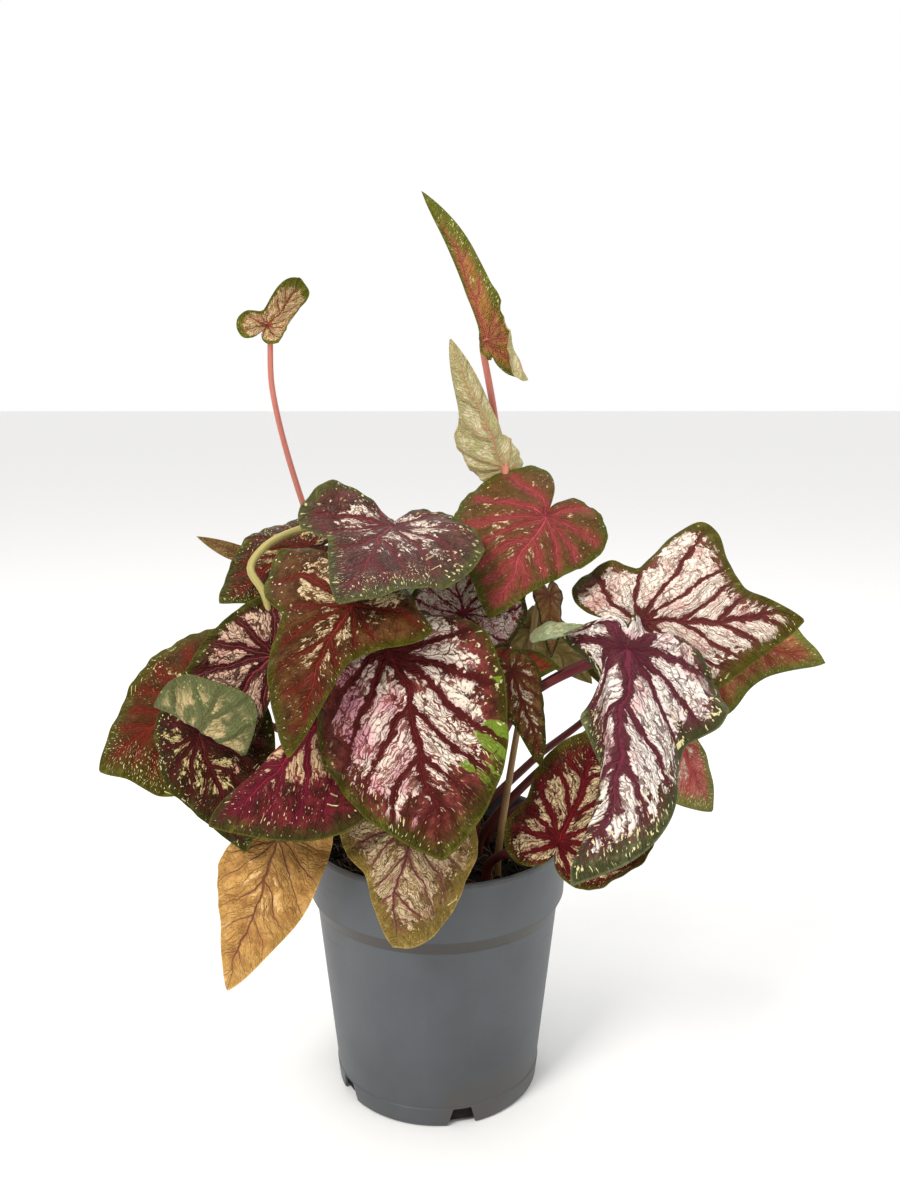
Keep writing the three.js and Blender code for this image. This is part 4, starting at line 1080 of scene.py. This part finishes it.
# base, pale, vein, fleck
underLooks = {
    "mint": ((112, 128, 88), (152, 162, 120), (116, 92, 66), (196, 198, 148)),
    "folded": ((92, 98, 54), (192, 168, 120), (78, 68, 26), (160, 168, 100)),
    "olive": ((138, 128, 66), (180, 164, 104), (148, 96, 68), (206, 196, 128)),
    "pale": ((176, 172, 118), (216, 208, 166), (186, 128, 96), (232, 226, 186)),
    "straw": ((184, 146, 96), (214, 180, 128), (136, 96, 70), (230, 200, 150)),
}

# foot, top, streak
stalkLooks = {
    "burgundy": ((92, 44, 34), (104, 32, 38), (58, 20, 20)),
    "red": ((120, 56, 44), (152, 48, 48), (96, 30, 30)),
    "tan": ((152, 118, 74), (174, 142, 96), (122, 84, 52)),
    "olive": ((128, 104, 56), (176, 166, 98), (130, 96, 60)),
    "salmon": ((166, 108, 84), (196, 120, 104), (154, 78, 70)),
}

leafPattern = {
    # how fine the noise is, its detail, and how far it moves a place, over leaf length
    "slowSway": (2.2, 1, 0.10),
    "quickSway": (9, 2, 0.025),
    "netSway": (16, 3, 0.10),
    # how fine each pattern is, over leaf length
    "fineScale": 38,
    "drawnScale": 16,
    "tornScale": 15,
    "netScale": 15,
    "blockScale": 6.5,
    "limeScale": 9,
    "crumbScale": 48,
    "fleckScale": 42,
    "underFleckScale": 34,
    "sideVeinStart": 0.7,      # angle between the midrib and the side veins, in radians
    "minorVeins": 0.6,         # how much the veins between the side veins show
    # how much of each shows, 0 to 1
    "halo": 0.85,
    "crumbs": 0.7,
    "pink": 0.75,
    "patch": 0.96,
    "rim": 0.5,
    "underHalo": 0.03,         # half width of the dark round the veins below, over leaf length
    "underVein": 0.8,
    "underNet": 0.55,
    "underGloss": 0.25,
    "stalkGloss": 0.3,
    "bumpDepth": 0.0011,       # in metres, as the next two
    "underBumpDepth": 0.0007,
    "stalkBumpDepth": 0.0002,
}


def bladeWires(wire, order, haloWidth):
    # wires for a place on the flat blade and for how near its veins and margin are
    mark = wire.node("ShaderNodeAttribute", {"attribute_name": "flatBlade"}, output="Vector")
    share = mark.parts()[2]
    place = mark.stretched(1, 1, 0)
    seed = place.moved(order * 3.7, order * 1.9, order * 0.8)
    bent = place.shaken(seed, *leafPattern["slowSway"]).shaken(seed, *leafPattern["quickSway"])
    x, y, _ = bent.parts()
    beside = abs(y)
    radius = bent.vectorMaths("LENGTH", bent, output="Value")
    angle = beside.maths("ARCTAN2", beside, x)
    forward = x - veins["slope"] * beside - veins["curve"] * beside * beside
    comb = forward / veins["step"]
    spacing = veins["step"] * veins["across"]
    lateral = abs(comb - comb.maths("ROUND", comb)) * spacing
    between = abs(comb * 2 - comb.maths("ROUND", comb * 2)) * (spacing / 2)
    lateral = lateral + comb.maths("LESS_THAN", comb, -0.5)
    for ray in veins["rays"]:
        turned = abs(angle - (math.radians(ray) - veins["rayCurve"] * radius))
        lateral = lateral.least(radius * turned)
    midrib = beside + (-x).most(0)
    # grain: a place that runs along the side veins, for what is drawn out towards the margin
    across = forward.most(0) - (angle - leafPattern["sideVeinStart"]).most(0) * 0.3
    side = y.maths("GREATER_THAN", y, 0)
    grain = wire.node("ShaderNodeCombineXYZ", None, {0: across * 2.0, 1: radius, 2: side * 5 + order * 1.3})
    drawn = grain.noise(leafPattern["drawnScale"], 6, 0.68)
    torn = bent.noise(leafPattern["tornScale"], 6, 0.7, shift=order)
    taper = 1 - 0.7 * share
    minor = (between / taper).rises(0.004, 0.001) * leafPattern["minorVeins"]
    main = (midrib / taper).rises(0.012, 0.004).most((lateral / taper).rises(0.007, 0.002))
    ragged = midrib.least(lateral + 0.006) + (drawn - 0.5) * 0.05 + (torn - 0.5) * 0.06
    ragged = ragged - radius.rises(0.16, 0.05) * 0.01
    stirred = grain.shaken(seed, *leafPattern["netSway"])
    blocks = stirred.cells(leafPattern["blockScale"], "DISTANCE_TO_EDGE")
    return {
        "share": share, "seed": seed, "drawn": drawn, "grain": grain, "torn": torn, "y": y,
        "fine": seed.noise(leafPattern["fineScale"], 5, 0.65),
        "nearest": midrib.least(lateral),
        "vein": main.most(minor),
        "open": ragged.rises(haloWidth - 0.002, haloWidth + 0.004),
        "halo": ragged.rises(haloWidth * 2.2, haloWidth * 0.4),
        "netEdge": stirred.cells(leafPattern["netScale"], "DISTANCE_TO_EDGE"),
        "cell": stirred.cells(leafPattern["netScale"], output="Color").parts()[0],
        "blockEdge": blocks + (torn - 0.5) * 0.3,
        "margin": share + (drawn - 0.5) * 0.16 + (seed.noise(5, 2) - 0.5) * 0.12,
    }


def upperMaterial(name, look, order):
    material, wire = startMaterial(name + "_upper")
    blade = bladeWires(wire, order, look["haloWidth"])
    seed, share, fine, drawn, grain = (blade[key] for key in ("seed", "share", "fine", "drawn", "grain"))
    broad = seed.noise(2.8, 2, shift=5)
    mottled = seed.noise(11, 6, 0.65, shift=2)
    color = mottled.rises(0.35, 0.65).blend(look["dark"], look["body"])
    color = (blade["halo"] * leafPattern["halo"]).blend(color, look["halo"])
    # green margin, speckled where it starts
    speckled = blade["margin"] + (fine - 0.5) * 0.3
    edge = speckled.rises(0.90 - look["marginWidth"], 1.0 - look["marginWidth"] * 0.4)
    color = edge.blend(color, mottled.rises(0.5, 0.75).blend(look["margin"], look["rimPale"]))
    # pale patches between the veins, broken by the fine net, wide cracks and small dark crumbs
    limit = 0.76 - 0.5 * look["patches"]
    faded = share.rises(look["patchReach"] - 0.2, look["patchReach"] + 0.25) * 0.36
    field = (broad * 0.8 + blade["cell"] * 0.2 + (blade["torn"] - 0.5) * 0.6
             + (drawn - 0.5) * look["drawn"] - faded)
    side = (blade["y"] * look["blushSide"]).rises(-0.02, 0.12)
    if look["blushSide"]:
        field = field + side * 0.12
    reach = blade["margin"].rises(0.93, 0.84)
    net = 1 - blade["netEdge"].rises(0.075, 0.03) * look["net"] * mottled.rises(0.36, 0.5)
    crumbs = 1 - grain.noise(leafPattern["crumbScale"], 2, shift=3).rises(0.60, 0.66) * leafPattern["crumbs"]
    blocks = 1 - blade["blockEdge"].rises(0.05, 0.03) * look["net"]
    patch = field.rises(limit - 0.015, limit + 0.015) * blade["open"] * reach * net * crumbs * blocks
    pink = seed.noise(6, 3, shift=8).rises(0.75 - 0.5 * look["pinkness"], 0.85 - 0.2 * look["pinkness"])
    if look["blushSide"]:
        pink = pink * side
    pink = pink.most(blade["halo"] * 0.5)
    pale = (pink * leafPattern["pink"]).blend(look["patch"], look["blush"])
    color = (patch * leafPattern["patch"]).blend(color, pale)
    if look["lime"]:
        chosen = seed.cells(leafPattern["limeScale"], output="Color").parts()[1]
        spots = (chosen + (drawn - 0.5) * 0.1).rises(0.93, 0.94)
        color = (spots * blade["open"] * (1 - side) * look["lime"]).blend(color, look["limeTone"])
    # small flecks drawn out towards the margin, then the veins and a thin rim
    most = 0.735 - 0.12 * look["flecks"]
    dots = grain.noise(leafPattern["fleckScale"], 1.5, 0.4, shift=6).rises(most, most + 0.03)
    dots = dots * broad.rises(0.3, 0.55)
    fleck = dots * share.rises(0.55, 0.85) * share.rises(0.985, 0.96) * (1 - blade["vein"])
    color = fleck.blend(color, look["fleck"])
    color = (blade["vein"] * share.rises(1.0, 0.75)).blend(color, look["vein"])
    color = (share.rises(0.98, 0.992) * leafPattern["rim"]).blend(color, look["rimPale"])
    roughness = look["rough"] + (fine - 0.5) * 0.2 + patch * 0.06
    height = (blade["nearest"].rises(0.0, 0.06) - 0.5 * blade["vein"]
              + blade["netEdge"].rises(0.0, 0.25) * 0.4 + fine * 0.25)
    return finishMaterial(material, color, roughness, height, leafPattern["bumpDepth"], look["gloss"])


def underMaterial(name, kind, order):
    material, wire = startMaterial(name + "_under")
    base, pale, vein, fleck = underLooks[kind]
    blade = bladeWires(wire, order, leafPattern["underHalo"])
    seed, share, fine, netEdge = (blade[key] for key in ("seed", "share", "fine", "netEdge"))
    mottled = seed.noise(9, 5, 0.6)
    color = (blade["open"] * mottled.rises(0.42, 0.6) * share.rises(0.98, 0.8)).blend(base, pale)
    dots = seed.cells(leafPattern["underFleckScale"], output="Distance").rises(0.28, 0.16)
    color = (dots * share.rises(0.6, 0.9) * mottled.rises(0.48, 0.6)).blend(color, fleck)
    color = (blade["vein"] * leafPattern["underVein"]).blend(color, vein)
    color = (netEdge.rises(0.09, 0.03) * leafPattern["underNet"]).blend(color, vein)
    height = blade["nearest"].rises(0.03, 0.0) + netEdge.rises(0.15, 0.0) * 0.3 + fine * 0.3
    return finishMaterial(material, color, 0.5 + fine * 0.15, height, leafPattern["underBumpDepth"],
                          leafPattern["underGloss"])


def stalkMaterial(name, kind, order):
    material, wire = startMaterial(name + "_stalk")
    foot, top, streak = stalkLooks[kind]
    mark = wire.node("ShaderNodeAttribute", {"attribute_name": "alongStalk"}, output="Vector")
    streaks = mark.stretched(1.4, 1.4, 6).noise(2.4, 5, 0.65, shift=order)
    flecks = mark.stretched(3, 3, 60).noise(1.5, 3, shift=order)
    color = mark.parts()[2].rises(0.1, 0.9).blend(foot, top)
    color = (streaks.rises(0.45, 0.7) * 0.6).blend(color, streak)
    color = (flecks.rises(0.62, 0.75) * 0.3).blend(color, top)
    return finishMaterial(material, color, 0.36 + streaks * 0.2, streaks + flecks * 0.5,
                          leafPattern["stalkBumpDepth"], leafPattern["stalkGloss"])


def leafMaterials(name, order):
    look = {**commonLook, **leafLooks.get(name, {})}
    return [upperMaterial(name, look, order), underMaterial(name, look["under"], order),
            stalkMaterial(name, look["stalk"], order)]


# The whole plant

makeCamera()
makeLights()
makeFloor()
makePot()
makeSoil()
makeCrumbs()
makeFibres()
triangles = [makeLeaf(name, order) for order, name in enumerate(leafShapes)]
print("leaves made:", len(triangles), "with", sum(triangles), "triangles, at most", max(triangles))
